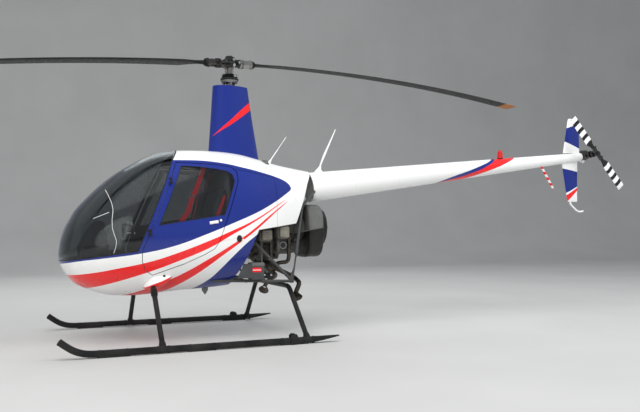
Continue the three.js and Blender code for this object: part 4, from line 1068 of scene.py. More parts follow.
place, radius = boom_at(3.168)
foot = place.z + radius
beacon = lathe("beacon_lens",
    [(0.006, 0.0), (0.006, 0.033), (0.02, 0.0335), (0.026, 0.031), (0.058, 0.03), (0.08, 0.0245),
        (0.093, 0.015), (0.0985, 0.004), (0.1, 0.0)], (3.168, 0, foot), (3.168, 0, foot + 1), 36)
hand_over(beacon, "beacon_lens", lens_red(), "beacon")
collar = lathe("beacon_base", [(-0.018, 0.0), (-0.018, 0.034), (0.004, 0.034), (0.005, 0.0)],
    (3.168, 0, foot), (3.168, 0, foot + 1), 36)
hand_over(collar, "black_plastic", black_plastic)

ROD_TOP, ROD_FOOT = Vector((3.745, 0, 1.722)), Vector((3.913, 0, 1.464))
ROD_BANDS = 8


def banded_finish():
    """Red and white bands of equal length, told apart by the height."""
    finish = Finish("banded_paint", RED, 0.38)
    share = finish.math("DIVIDE", finish.math("SUBTRACT", ROD_TOP.z, finish.axis("z")),
        ROD_TOP.z - ROD_FOOT.z)
    odd = finish.math("GREATER_THAN",
        finish.math("FLOORED_MODULO", finish.math("MULTIPLY", share, ROD_BANDS), 2.0), 1.0)
    finish.colour(finish.blend(odd, RED, WHITE))
    finish.gloss(0.3, 0.5, 30)
    return finish.material


way = (ROD_FOOT - ROD_TOP).normalized()
warning = lathe("warning_rod_tube",
    [(-0.004, 0.0), (-0.004, 0.0135), (0.3, 0.0135), (0.305, 0.011), (0.307, 0.0)], ROD_TOP, ROD_FOOT, 24)
hand_over(warning, "paint_red", banded_finish(), "warning_rod")

whip_foot, whip_tip = Vector((0.394, 0, 1.655)), Vector((0.583, 0, 1.927))
whip = joined("whip_antenna",
    [pipe("whip", [whip_foot, whip_foot.lerp(whip_tip, 0.5), whip_tip], 0.0045, 0.01, 3,
        [(0, 1.25), (1, 0.7)]), lathe("whip_socket",
            [(-0.012, 0), (-0.012, 0.026), (0.01, 0.024), (0.022, 0.014), (0.05, 0.0085), (0.053, 0)],
            whip_foot - Vector((0, 0, 0.004)), whip_tip, 24)])
hand_over(whip, "paint_white", white_paint, "antenna_whip")
print("tail fittings made")

# %% [markdown]
# The tail rotor
#
# Two short blades on a pivoting block, painted black with four white blocks so that the spinning disc is
# seen. The blocks are told apart by the distance from the rotor's shaft, which is a cylinder whose axis runs
# across the machine.

# %% Tail rotor
shaft_place = Vector(joints["tail_rotor_spin"]["pos_m"]) - HOME
TAIL_RADIUS = 0.533
TAIL_TURN = math.radians(48.9)
tail_frame = Matrix.Translation(shaft_place) @ Matrix.Rotation(TAIL_TURN, 4, "Y")
BLOCK_FIRST, BLOCK_STEP, BLOCK_SHARE = 0.35 * TAIL_RADIUS, 0.182 * TAIL_RADIUS, 0.55


def blocks_finish():
    finish = Finish("tail_blade_paint", (0.02, 0.02, 0.02), 0.35)
    away_x = finish.math("SUBTRACT", finish.axis("x"), shaft_place.x)
    away_z = finish.math("SUBTRACT", finish.axis("z"), shaft_place.z)
    squares = finish.math("MULTIPLY_ADD", away_x, away_x, finish.math("MULTIPLY", away_z, away_z))
    away = finish.math("SQRT", squares)
    turn = finish.math("FRACT", finish.math("DIVIDE", finish.math("SUBTRACT", away, BLOCK_FIRST), BLOCK_STEP))
    white = finish.math("MULTIPLY", finish.math("LESS_THAN", turn, BLOCK_SHARE),
        finish.math("GREATER_THAN", away, BLOCK_FIRST))
    finish.colour(finish.blend(white, (0.012, 0.012, 0.012), WHITE))
    finish.gloss(0.28, 0.5, 20)
    return finish.material


blade_blocks = blocks_finish()
for number, way in enumerate((1, -1)):
    sections = [(0.0925, 0.044, 0.018), (0.14, 0.06, 0.015), (0.17, 0.1, 0.012), (0.525, 0.1, 0.011),
        (0.5325, 0.092, 0.004)]
    blade = wing(f"tail_blade_skin_{number + 1}", sections,
        lambda row, back, up, way=way: (way * row[0], up - 0.002, way * (back - row[1] * 0.4)))
    hand_over(placed(blade, tail_frame), "blade_paint", blade_blocks, f"tail_blade_{number + 1}",
        body="tail_rotor")

parts = [rod("shaft", (0, 0.0997, 0), (0, -0.026, 0), 0.014),
    rod("nut", (0, -0.026, 0), (0, -0.036, 0), 0.019, sides=6),
    rod("slider", (0, 0.072, 0), (0, 0.05, 0), 0.034),
    rod("slider_lip", (0, 0.062, 0), (0, 0.058, 0), 0.037),
    block("yoke", (-0.092, -0.014, -0.022), (0.092, 0.01, 0.022), 0.004),
    rod("yoke_pin", (0, -0.003, -0.034), (0, -0.003, 0.034), 0.009)]
for way in (1, -1):
    parts += [rod("link", (way * 0.06, 0.055, 0.034), (way * 0.074, 0, 0.034), 0.0045, sides=12),
        block("arm", (way * 0.074 - 0.011, -0.007, 0.015), (way * 0.074 + 0.011, 0.007, 0.041), 0.003),
        block("foot", (min(0, way * 0.068), 0.05, 0.02), (max(0, way * 0.068), 0.06, 0.04), 0.003),
        rod("root_bolt", (way * 0.082, -0.02, 0), (way * 0.082, 0.014, 0), 0.007, sides=6),
        rod("link_ball", (way * 0.06, 0.047, 0.034), (way * 0.06, 0.064, 0.034), 0.008, sides=12)]
tail_hub = placed(joined("tail_hub", parts), tail_frame)
hand_over(tail_hub, "rotor_steel", dark_steel, "tail_rotor_hub", body="tail_rotor")
tail_drive = joined("tail_drive",
    [lathe("case", [(0.0003, 0.0), (0.0003, 0.046), (0.012, 0.046), (0.014, 0.042), (0.03, 0.041),
        (0.036, 0.048), (0.062, 0.049), (0.068, 0.044), (0.074, 0.0)], BOOM_END,
        BOOM_END + Vector((1, 0, 0.12)), 36),
        lathe("output", [(0.0, 0.0), (0.0, 0.04), (0.02, 0.042), (0.035, 0.034), (0.06, 0.036),
            (0.08, 0.055), (0.15, 0.062), (0.168, 0.058), (0.174, 0.0)],
            (shaft_place.x, -0.112, shaft_place.z), (shaft_place.x, 1, shaft_place.z), 36)])
hand_over(tail_drive, "engine_alloy", dark_steel, "tail_gearbox")
print("tail rotor made")

# %% [markdown]
# The main rotor
#
# Two long blades hang from a hub that tilts like a seesaw. Each blade is a wing through a few sections with a
# slow twist, bowed down under its own weight, and ends in an orange tip band. The head is dark steel with
# bright bolt ends, a rubber boot and turned bearing housings, and the blade grips are short stacks of lathe
# work.

# %% Blades
ROTOR_RADIUS = 3.835
CHORD = 0.183
HUB_HEIGHT = 2.62
DROOP = 0.0225
BLADE_TURN, HEAD_TILT = math.radians(9.7), math.radians(-3.2)
head_frame = (Matrix.Rotation(BLADE_TURN, 4, "Z") @ Matrix.Translation((0, 0, HUB_HEIGHT))
    @ Matrix.Rotation(HEAD_TILT, 4, "Y"))
TIP_BAND = 0.17


def blade_finish():
    """Dark grey paint with a faint mottle and a fine grit all over, and an orange band at the tip."""
    finish = Finish("blade_paint", (0.03, 0.03, 0.03), 0.45, Specular_IOR_Level=0.3)
    along, aside = finish.axis("x"), finish.axis("y")
    squares = finish.math("MULTIPLY_ADD", along, along, finish.math("MULTIPLY", aside, aside))
    tip = finish.math("GREATER_THAN", finish.math("SQRT", squares), ROTOR_RADIUS - TIP_BAND)
    dust = finish.spread(finish.noise(9, 5), 0, 1)
    grey = finish.blend(dust, (0.009, 0.0085, 0.008), (0.024, 0.023, 0.021))
    finish.colour(finish.blend(tip, grey, (0.45, 0.16, 0.03)))
    finish.gloss(0.34, 0.6, 40, 5)
    finish.grain(0.0006, 0.25, 180, 3)
    return finish.material


def blade_point(row, back, up, way):
    station, chord, _, twist = row
    ahead = 0.3 * chord - back
    lean = math.radians(twist)
    sag = -DROOP * station**2
    return (way * station, way * (ahead * math.cos(lean) - up * math.sin(lean)),
        sag + ahead * math.sin(lean) + up * math.cos(lean))


# Station, chord, thickness and twist in degrees
BLADE = [(0.2627, 0.066, 0.04, 6), (0.345, 0.074, 0.032, 6), (0.479, CHORD, 0.026, 5.5),
    (1.15, CHORD, 0.022, 4), (1.917, CHORD, 0.022, 2.5), (2.685, CHORD, 0.021, 1), (3.336, CHORD, 0.02, 0),
    (3.822, CHORD, 0.018, -1), (3.835, CHORD * 0.94, 0.004, -1)]
blade_paint = blade_finish()
for number, way in enumerate((1, -1)):
    blade = wing(f"main_blade_skin_{number + 1}", BLADE, lambda *args, way=way: blade_point(*args, way), 40,
        6)
    hand_over(placed(blade, head_frame), "blade_paint", blade_paint, f"main_blade_{number + 1}",
        body="main_rotor")

# %% Hub and grips
parts = [block("yoke", (-0.072, -0.05, -0.038), (0.072, 0.05, 0.034), 0.008, 3),
    turned("teeter_bolt", [(0, 0.017), (0.012, 0.02), (0.02, 0.032), (0.172, 0.032), (0.18, 0.02),
        (0.192, 0.017)], (0, -0.096, 0.022), (0, 1, 0.022), 32),
    lathe("dome", [(-0.012, 0), (-0.012, 0.05), (0.006, 0.05), (0.012, 0.044), (0.026, 0.04), (0.038, 0.031),
        (0.047, 0.016), (0.05, 0)], (0, 0, 0.034), (0, 0, 1), 36)]
for way in (1, -1):
    parts += [rod("cone_bolt", (way * 0.07, -0.068, 0), (way * 0.07, 0.068, 0), 0.025, sides=32),
        rod("cone_washer", (way * 0.07, -0.058, 0), (way * 0.07, 0.058, 0), 0.031, sides=32),
        rod("cone_nut", (way * 0.07, -0.08, 0), (way * 0.07, 0.08, 0), 0.015, sides=6),
        rod("bracket_bolt", (way * 0.045, -0.056, -0.02), (way * 0.045, 0.056, -0.02), 0.008, sides=6)]
hub = placed(joined("hub_steel", parts), head_frame)
hand_over(hub, "rotor_steel", dark_steel, "rotor_hub", body="main_rotor")
bolts = [rod("bolt_face", (way * 0.07, -0.083, 0), (way * 0.07, 0.083, 0), 0.012, sides=24)
    for way in (1, -1)]
bolts += [rod("teeter_face", (0, -0.105, 0.022), (0, 0.105, 0.022), 0.013),
    lathe("dome_cap", [(0.038, 0.0), (0.038, 0.0315), (0.0385, 0.0315), (0.048, 0.0165), (0.0515, 0.0)],
        (0, 0, 0.034), (0, 0, 1), 36)]
hand_over(placed(joined("hub_bolts", bolts), head_frame), "rotor_steel", polished, body="main_rotor")

slope = 2 * DROOP * 0.17
for number, way in enumerate((1, -1)):
    def spot(station, y=0.0, z=0.0, way=way):
        return way * station, y, z - slope * max(station - 0.1, 0)

    grip = joined(f"grip_{number + 1}",
        [turned("bearing", [(0, 0.04), (0.006, 0.046), (0.022, 0.047), (0.026, 0.042), (0.03, 0.047),
            (0.034, 0.042), (0.038, 0.047), (0.054, 0.044)], spot(0.0963), spot(0.5), 40),
            turned("spindle", [(0, 0.038), (0.05, 0.04), (0.056, 0.036), (0.084, 0.036), (0.09, 0.032),
                (0.112, 0.031)], spot(0.15), spot(0.6), 40),
            block("horn", (min(way * 0.118, way * 0.142), min(0, way * 0.108), -0.015),
                (max(way * 0.118, way * 0.142), max(0, way * 0.108), 0.005), 0.004),
            block("horn_arm", (min(0, way * 0.142), min(way * 0.09, way * 0.11), -0.015),
                (max(0, way * 0.142), max(way * 0.09, way * 0.11), 0.004), 0.004),
            rod("root_bolt", spot(0.225, 0, -0.044), spot(0.225, 0, 0.044), 0.009, sides=6),
            rod("root_bolt_2", spot(0.245, 0, -0.04), spot(0.245, 0, 0.04), 0.009, sides=6)])
    cuff = turned(f"blade_cuff_{number + 1}", [(0, 0.0335), (0.004, 0.035), (0.03, 0.0335)], spot(0.2325),
        spot(0.6), 36)
    hand_over(placed(cuff, head_frame), "blade_paint", blade_paint, body="main_rotor")
    # The two grips are the same part, yet the first is pale alloy and the second dark steel: lit and shaded
    # copies, painted light on the first and painted shade on the second.
    hand_over(placed(grip, head_frame), "rotor_steel", dark_steel if number else dull_alloy,
        f"blade_grip_{number + 1}", body="main_rotor")
    low, high = 2.4733 - HUB_HEIGHT, -0.0163
    link = joined(f"link_{number + 1}",
        [turned("barrel", [(0, 0.008), (0.026, 0.008), (0.028, 0.0055), (0.04, 0.0055), (0.042, 0.0075),
            (0.09, 0.0075), (0.092, 0.0055), (0.104, 0.0055), (0.106, 0.008), (high - low, 0.008)],
            (0, way * 0.1, low), (0, way * 0.1, 1), 20),
            rod("eye_low", (-0.012, way * 0.1, low + 0.012), (0.012, way * 0.1, low + 0.012), 0.011),
            rod("eye_high", (-0.012, way * 0.1, high - 0.012), (0.012, way * 0.1, high - 0.012), 0.011)])
    hand_over(placed(link, head_frame), "rotor_steel", polished, f"pitch_link_{number + 1}",
        body="main_rotor")

spin_frame = Matrix.Rotation(BLADE_TURN, 4, "Z")
mast = turned("mast_tube", [(0, 0.03), (0.86, 0.03), (0.862, 0.034), (0.9, 0.034), (0.902, 0.03),
    (0.9574, 0.03)], (0, 0, 1.6203), (0, 0, 5), 40)
hand_over(mast, "rotor_steel", bright_steel, "mast", body="main_rotor")
boot = joined("turning_ring",
    [lathe("boot", [(0.0003, 0.032), (0.0003, 0.084), (0.004, 0.088), (0.016, 0.088), (0.02, 0.082),
        (0.023, 0.064), (0.03, 0.066), (0.036, 0.08), (0.04, 0.066), (0.044, 0.06), (0.05, 0.066),
        (0.056, 0.074), (0.06, 0.058), (0.064, 0.044), (0.066, 0.032), (0.0003, 0.032)], (0, 0, 2.452),
        (0, 0, 3), 48), block("horns", (-0.013, -0.112, 2.456), (0.013, 0.112, 2.472), 0.003)])
hand_over(placed(boot, spin_frame), "black_plastic", black_rubber, "swashplate_turning", body="main_rotor")
ring = [lathe("fixed", [(0, 0.038), (0, 0.066), (0.003, 0.074), (0.01, 0.076), (0.013, 0.08), (0.026, 0.084),
    (0.028, 0.08), (0.028, 0.038), (0, 0.038)], (0, 0, 2.424), (0, 0, 3), 48)]
for third in range(3):
    angle = 2 * math.pi * third / 3 + 0.5
    x, y = 0.058 * math.cos(angle), 0.058 * math.sin(angle)
    ring += [rod("push_rod", (x, y, 1.6203), (x, y, 2.43), 0.007),
        rod("rod_end", (x, y, 2.4), (x, y, 2.43), 0.012)]
hand_over(joined("fixed_ring", ring), "rotor_steel", dull_alloy, "swashplate_fixed")
print("main rotor made")

# %% [markdown]
# The landing gear
#
# Two bent cross tubes carry two long skids. A curve with a round bevel bends as a real tube does, so each
# cross tube is one path from foot to foot, with a cast saddle where it meets the skid. The skid turns up in
# front, its heel is cut thin, and three steel shoes take the wear.

# %% Cross tubes and skids
SKID_Y, SKID_Z, SKID_RADIUS = 0.94, 0.045, 0.027
LEG_FOOT = 0.922
# Distance aft in the middle and at the feet, height, and half the level run
CROSS_TUBES = {"crosstube_front": (-0.82, -0.813, 0.53, 0.484), "crosstube_aft": (0.424, 0.44, 0.479, 0.491)}

for node, (x, foot_x, height, bend) in CROSS_TUBES.items():
    feet = [Vector((foot_x, side * LEG_FOOT, SKID_Z)) for side in (-1, 1)]
    knees = [Vector((x, side * bend, height)) for side in (-1, 1)]
    parts = [pipe("tube", [feet[0], knees[0], knees[1], feet[1]], 0.022, 0.06, 6)]
    for foot, knee in zip(feet, knees):
        parts.append(turned("saddle",
            [(-0.008, 0.024), (0.004, 0.03), (0.04, 0.029), (0.064, 0.0245), (0.07, 0.0215)], foot, knee,
            32))
        if node == "crosstube_front":
            parts.append(turned("sleeve",
                [(0.05, 0.026), (0.056, 0.0295), (0.108, 0.029), (0.122, 0.0245), (0.126, 0.0215)], knee,
                foot, 32))
    hand_over(joined(node + "_steel", parts), "black_paint", black_paint, node)

SKID_PATH = [(0.726, 0.045), (-1.36, 0.045), (-1.43, 0.052), (-1.5, 0.078), (-1.56, 0.118), (-1.604, 0.152)]
HEEL_CUT = [(0.477, 0.021), (0.736, 0.065), (0.736, 0.0), (0.46, 0.0)]
SHOES = [(-1.33, -1.08), (-0.62, -0.38), (0.18, 0.43)]
BRACKET = [(0.27, 0.02), (0.33, 0.02), (0.33, 0.088), (0.316, 0.104), (0.284, 0.104), (0.27, 0.088)]

tube = pipe("tube", [(x, -SKID_Y, z) for x, z in SKID_PATH], SKID_RADIUS, 0.06, 7)
carve(tube, plate("cutter", HEEL_CUT, -1.0, -0.88))
toe, before = Vector((-1.604, -SKID_Y, 0.152)), Vector((-1.56, -SKID_Y, 0.118))
parts = [tube, lathe("toe_cap",
    [(-0.01, 0), (-0.01, 0.0278), (0.002, 0.0278), (0.006, 0.024), (0.008, 0.014), (0.0085, 0)], toe,
    toe + (toe - before), 28)]
for start, end in SHOES:
    parts.append(block("shoe", (start, -SKID_Y - 0.022, SHOE_HEIGHT), (end, -SKID_Y + 0.022, 0.03), 0.004))
    for x in (start + 0.02, end - 0.02):
        parts.append(turned("band", [(-0.01, 0.0285), (0.01, 0.0285)], (x, -SKID_Y, SKID_Z),
            (x + 1, -SKID_Y, SKID_Z), 28))
for _, foot_x, _, _ in CROSS_TUBES.values():
    for x in (foot_x - 0.042, foot_x + 0.042):
        parts.append(turned("band", [(-0.008, 0.03), (0.008, 0.03)], (x, -SKID_Y, SKID_Z),
            (x + 1, -SKID_Y, SKID_Z), 28))
for side in (-0.03, 0.03):
    parts.append(plate("lug", BRACKET, -SKID_Y + side - 0.005, -SKID_Y + side + 0.005))
parts += [rod("pin", (0.3, -SKID_Y - 0.036, 0.09), (0.3, -SKID_Y + 0.036, 0.09), 0.008),
    rod("bolt", (0.286, -SKID_Y - 0.037, 0.045), (0.286, -SKID_Y + 0.037, 0.045), 0.006, sides=6),
    rod("bolt", (0.314, -SKID_Y - 0.037, 0.045), (0.314, -SKID_Y + 0.037, 0.045), 0.006, sides=6)]
skid = joined("skid_steel_left", parts)
hand_over_pair(skid, "black_paint", black_paint, "skid")
print("landing gear made")

# %% [markdown]
# The engine bay
#
# Behind the firewall the bay is open. A frame of welded tubes carries the engine, the gearbox and the boom,
# and the engine's four cylinders stick out sideways with their cooling fins and rounded covers. Fins are
# cheap as thin turned discs and rounded plates, set in a row by a loop. The exhaust's pipes follow bent paths
# down into a muffler that lies across the bay.

# %% Frame, firewall and gearbox
RAIL_FRONT, RAIL_REAR = (-0.27, 0.34, 0.54), (0.516, 0.34, 0.512)
DIAGONAL_TOP, POST_MIDDLE, POST_TOP = (0.15, 0.34, 0.876), (0.562, 0.33, 0.782), (0.655, 0.245, 1.223)
GEARBOX_CORNER, BOOM_CORNER, CROSSING = (0.123, 0.096, 1.37), (0.835, 0.129, 1.385), (0.062, 0.34, 0.528)
# From, to and radius of the starboard tubes
FRAME_RUNS = [(RAIL_FRONT, RAIL_REAR, 0.014), (RAIL_REAR, POST_MIDDLE, 0.008),
    (POST_MIDDLE, POST_TOP, 0.014), (DIAGONAL_TOP, RAIL_REAR, 0.014),
    ((0.09, 0.34, 0.876), DIAGONAL_TOP, 0.014), (DIAGONAL_TOP, GEARBOX_CORNER, 0.014),
    (POST_TOP, BOOM_CORNER, 0.014), (POST_TOP, GEARBOX_CORNER, 0.014),
    (DIAGONAL_TOP, (0.192, 0.152, 0.85), 0.012), ((0.583, 0.31, 0.88), (0.6, 0.152, 0.88), 0.012)]


def ball(name, place, radius):
    piece = started(name, bpy.ops.mesh.primitive_uv_sphere_add, segments=24, ring_count=14, radius=radius,
        location=place)
    settle(piece)
    return piece


parts = []
for start, end, radius in FRAME_RUNS:
    parts.append(rod("tube", start, end, radius))
    way = (Vector(end) - Vector(start)).normalized()
    for point, turn in ((start, 1), (end, -1)):
        parts.append(lathe("weld",
            [(0.012, radius - 0.001), (0.012, radius + 0.003), (0.018, radius + 0.0035),
                (0.024, radius + 0.002), (0.026, radius - 0.001), (0.012, radius - 0.001)], point,
            Vector(point) + way * turn, 20))
parts += [ball("joint", point, 0.0175)
    for point in (RAIL_REAR, POST_MIDDLE, POST_TOP, DIAGONAL_TOP, CROSSING)]
parts += [plate("gusset", [(0.476, 0.52), (0.52, 0.516), (0.545, 0.64), (0.53, 0.645)], 0.338, 0.342),
    plate("gusset", [(0.15, 0.89), (0.15, 0.862), (0.225, 0.8), (0.232, 0.806)], 0.338, 0.342),
    turned("mount", [(-0.012, 0.024), (0.012, 0.026), (0.016, 0.02)], (0.6, 0.17, 0.88), (0.6, 0, 0.88), 28),
    turned("mount", [(-0.012, 0.024), (0.012, 0.026), (0.016, 0.02)], (0.19, 0.172, 0.854),
        (0.194, 0, 0.826), 28)]
welded = both_sides("engine_frame_tubes", parts)
cross_bars = [rod("cross_bar", (x, -y, z), (x, y, z), 0.014) for x, y, z in (POST_TOP, CROSSING)]
hand_over(joined("engine_frame_tubes", [welded] + cross_bars), "frame_steel", frame_paint, "engine_frame")

FIREWALL_FACE = [(-0.06, 0.44), (-0.06, 0.56), (0.022, 0.74), (0.128, 1.0), (0.142, 1.06)]
firewall = carve(body_form("firewall_sheet", SKIN + 0.0005),
    across(FIREWALL_FACE + [(x + 0.004, z) for x, z in reversed(FIREWALL_FACE)]), "INTERSECT")
beads = [rod("bead", (x + 0.003, y, z), (far_x + 0.003, y, far_z), 0.004, sides=12)
    for (x, z), (far_x, far_z) in [((-0.055, 0.575), (0.018, 0.733)), ((0.028, 0.757), (0.122, 0.988))]
    for y in (-0.26, -0.13, 0.0, 0.13, 0.26)]
hand_over(joined("firewall_sheet", [firewall] + beads), "bare_aluminium", dull_alloy, "firewall")

gear_case = joined("gear_case",
    [block("case", (-0.112, -0.112, 1.332), (0.112, 0.112, 1.5), 0.022, 4),
        turned("upper_case", [(1.48, 0.113), (1.492, 0.115), (1.5, 0.113), (1.56, 0.11), (1.575, 0.104),
            (1.616, 0.08), (1.62, 0.074)], (0, 0, 0), (0, 0, 1), 56)]
    + [rod("stud", (0.106 * math.cos(a), 0.106 * math.sin(a), 1.478),
        (0.106 * math.cos(a), 0.106 * math.sin(a), 1.512), 0.006, sides=6)
        for a in [2 * math.pi * i / 14 for i in range(14)]]
    + [turned("side_cover", [(0.1, 0.06), (0.114, 0.06), (0.118, 0.04)], (0, 0, 1.41), (0, way, 1.41), 32)
        for way in (-1, 1)])
hand_over(gear_case, "engine_alloy", engine_cast, "main_gearbox")
print("frame welded")

# %% Engine
# Distance aft and height of each cylinder, and of its rocker cover from and to
CYLINDERS = [(0.251, 0.951, (0.194, 0.308), (0.897, 1.006)), (0.424, 0.977, (0.37, 0.478), (0.918, 1.036))]
case = [block("crankcase", (0.172, -0.148, 0.77), (0.618, 0.148, 1.06), 0.026, 4),
    block("spine", (0.18, -0.016, 0.76), (0.61, 0.016, 1.065), 0.006),
    block("sump", (0.192, -0.095, 0.714), (0.47, 0.095, 0.79), 0.02, 3),
    turned("rear_case", [(0, 0.11), (0.012, 0.125), (0.08, 0.128), (0.09, 0.12)], (0.53, 0, 0.93),
        (1, 0, 0.93), 40)]
case += [block("rib", (x - 0.004, -0.151, 0.79), (x + 0.004, 0.151, 1.046), 0.003)
    for x in (0.2, 0.337, 0.505, 0.56, 0.6)]
side, covers = [], []
for x, z, (cover_x, cover_far_x), (cover_z, cover_far_z) in CYLINDERS:
    side.append(rod("barrel", (x, 0.14, z), (x, 0.342, z), 0.053, sides=40))
    side.append(turned("base_flange", [(0, 0.07), (0.01, 0.07), (0.012, 0.062)], (x, 0.146, z), (x, 1, z),
        40))
    for number in range(8):
        y = 0.166 + 0.0118 * number
        side.append(turned("fin", [(0, 0.0655), (0.001, 0.0665), (0.003, 0.0655)], (x, y, z), (x, 1, z), 40))
    head = rounded(rectangle(x - 0.066, z - 0.068, x + 0.066, z + 0.068), 0.045, 6)
    for number in range(7):
        y = 0.264 + 0.0112 * number
        side.append(plate("head_fin", head, y, y + 0.0032))
    side.append(pipe("intake", [(x - 0.03, 0.06, 0.748), (x - 0.03, 0.235, 0.748), (x - 0.034, 0.3, 0.79),
        (x - 0.034, 0.3, z - 0.055)], 0.018, 0.05, 5))
    side.append(turned("intake_flange", [(0, 0.027), (0.007, 0.027)], (x - 0.034, 0.3, z - 0.078),
        (x - 0.034, 0.3, 2), 24))
    for rise in (-0.052, -0.03):
        side.append(rod("push_rod", (x + 0.02, 0.15, z + rise - 0.012), (x + 0.02, 0.338, z + rise), 0.009,
            sides=14))
    edge = rounded(rectangle(cover_x, cover_z, cover_far_x, cover_far_z), 0.024, 6)
    covers.append(softened(plate("flange", edge, 0.34, 0.348), 0.0015))
    covers.append(softened(plate("cover", grown(edge, -0.007), 0.346, 0.397), 0.014, 5, 50))
    raised = rounded(rectangle(cover_x + 0.026, cover_z + 0.026, cover_far_x - 0.026, cover_far_z - 0.026),
        0.012, 4)
    covers.append(softened(plate("raised", raised, 0.39, 0.3985), 0.003, 2, 50))
    for across_x, up_z in ((0.006, 0.5), (0.994, 0.5), (0.22, 0.008), (0.78, 0.008), (0.22, 0.992),
            (0.78, 0.992)):
        at_x = cover_x + 0.004 + (cover_far_x - cover_x - 0.008) * across_x
        at_z = cover_z + 0.004 + (cover_far_z - cover_z - 0.008) * up_z
        covers.append(rod("screw", (at_x, 0.345, at_z), (at_x, 0.353, at_z), 0.0045, sides=6))
engine = joined("engine_castings", case + [both_sides("cylinders", side)])
hand_over(engine, "engine_alloy", engine_cast, "engine")
hand_over(both_sides("rocker_covers", covers), "engine_alloy", cover_cast)

leads = []
for number, (x, z, _, _) in enumerate(CYLINDERS):
    leads += [pipe("lead", [(x + 0.02, 0.312, z + 0.064), (x + 0.02, 0.296, z + 0.098),
        (x - 0.01, 0.2, 1.088), (0.215 + 0.02 * number, 0.09, 1.082), (0.2, 0.03, 1.07)], 0.0036, 0.05, 3),
        rod("plug", (x + 0.02, 0.313, z + 0.05), (x + 0.02, 0.312, z + 0.078), 0.0075, sides=6)]
leads += [pipe("bundle", [(0.57, 0.312, 0.74), (0.584, 0.314, 0.8), (0.64, 0.262, 1.08),
    (0.652, 0.24, 1.19)], 0.0055, 0.05, 3),
    pipe("hose", [(0.19, 0.24, 0.7), (0.184, 0.3, 0.6), (0.24, 0.325, 0.545), (0.33, 0.318, 0.556),
        (0.372, 0.25, 0.6), (0.372, 0.16, 0.61)], 0.0075, 0.05, 4),
    pipe("hose", [(0.12, 0.18, 0.93), (0.2, 0.226, 0.88), (0.33, 0.236, 0.85), (0.42, 0.2, 0.8)], 0.0085,
        0.06, 4), lathe("duct", [(i * 0.006, 0.027 + 0.003 * (i % 2)) if 0 < i < 24 else (i * 0.006, 0)
            for i in range(25)], (0.438, 0.16, 0.852), (0.438, 1, 0.852), 24)]
hand_over(both_sides("leads_and_hoses", leads), "black_plastic", black_rubber)
clamps = [lathe("duct_clamp", [(0, 0.0275), (0, 0.034), (0.012, 0.034), (0.012, 0.0275), (0, 0.0275)],
    (0.438, 0.29, 0.852), (0.438, 1, 0.852), 32)]
clamps += [lathe("hose_clamp", [(0, 0.007), (0, 0.0098), (0.01, 0.0098), (0.01, 0.007), (0, 0.007)], place,
    Vector(place) + Vector(way), 20)
    for place, way in (((0.372, 0.175, 0.61), (0, 1, 0)), ((0.19, 0.246, 0.69), (-0.05, 0.55, -0.9)))]
clamps += [rod("push_pull", (0.226, 0.3, 0.545), (0.226, 0.3, 0.88), 0.0055, sides=16),
    rod("push_pull_end", (0.226, 0.3, 0.545), (0.226, 0.3, 0.575), 0.009, sides=16)]
hand_over(both_sides("clamps", clamps), "bare_aluminium", bright_steel)
print("engine made")

# %% Exhaust and battery
muffler = [turned("can", [(0, 0.03), (0.004, 0.048), (0.012, 0.056), (0.03, 0.056), (0.031, 0.058),
    (0.04, 0.058), (0.041, 0.056), (0.15, 0.056), (0.151, 0.0585), (0.162, 0.0585), (0.163, 0.056),
    (0.297, 0.056), (0.298, 0.0585), (0.309, 0.0585), (0.31, 0.056), (0.419, 0.056), (0.42, 0.058),
    (0.429, 0.058), (0.43, 0.056), (0.448, 0.056), (0.456, 0.048), (0.46, 0.03)], (0.355, -0.23, 0.648),
    (0.355, 1, 0.648), 48)]
half = [pipe("riser_front", [(0.317, 0.3, 0.93), (0.317, 0.3, 0.745), (0.33, 0.28, 0.7),
    (0.355, 0.225, 0.663)], 0.018, 0.06, 6),
    pipe("riser_aft", [(0.497, 0.3, 0.945), (0.497, 0.3, 0.72), (0.472, 0.3, 0.69), (0.41, 0.29, 0.69),
        (0.355, 0.225, 0.658)], 0.019, 0.05, 6),
    pipe("tail_pipe", [(0.355, 0.21, 0.648), (0.455, 0.24, 0.6), (0.56, 0.262, 0.545), (0.574, 0.33, 0.514),
        (0.564, 0.4, 0.5), (0.54, 0.438, 0.47), (0.512, 0.455, 0.428), (0.505, 0.458, 0.406)], 0.022, 0.05,
        6), lathe("mouth", [(-0.004, 0.0205), (-0.004, 0.0235), (0.004, 0.0265), (0.046, 0.053),
            (0.05, 0.054), (0.05, 0.0525), (0.046, 0.0505), (0.006, 0.0245), (-0.004, 0.0205)],
            (0.505, 0.458, 0.406), (0.503, 0.49, 0.369), 36)]
for x, z in ((0.317, 0.884), (0.497, 0.912)):
    half.append(turned("flange", [(0, 0.03), (0.008, 0.03)], (x, 0.3, z), (x, 0.3, 2), 28))
for place, way in (((0.317, 0.3, 0.8), (0, 0, 1)), ((0.497, 0.3, 0.8), (0, 0, 1)),
        ((0.52, 0.2525, 0.5665), (0.105, 0.022, -0.055))):
    half.append(turned("joint_ring", [(0, 0.0235), (0.004, 0.026), (0.014, 0.026), (0.018, 0.0235)], place,
        Vector(place) + Vector(way), 28))
exhaust = joined("exhaust_pipes", muffler + [both_sides("exhaust_half", half)])
hand_over(exhaust, "exhaust_steel", burnt_steel, "exhaust")
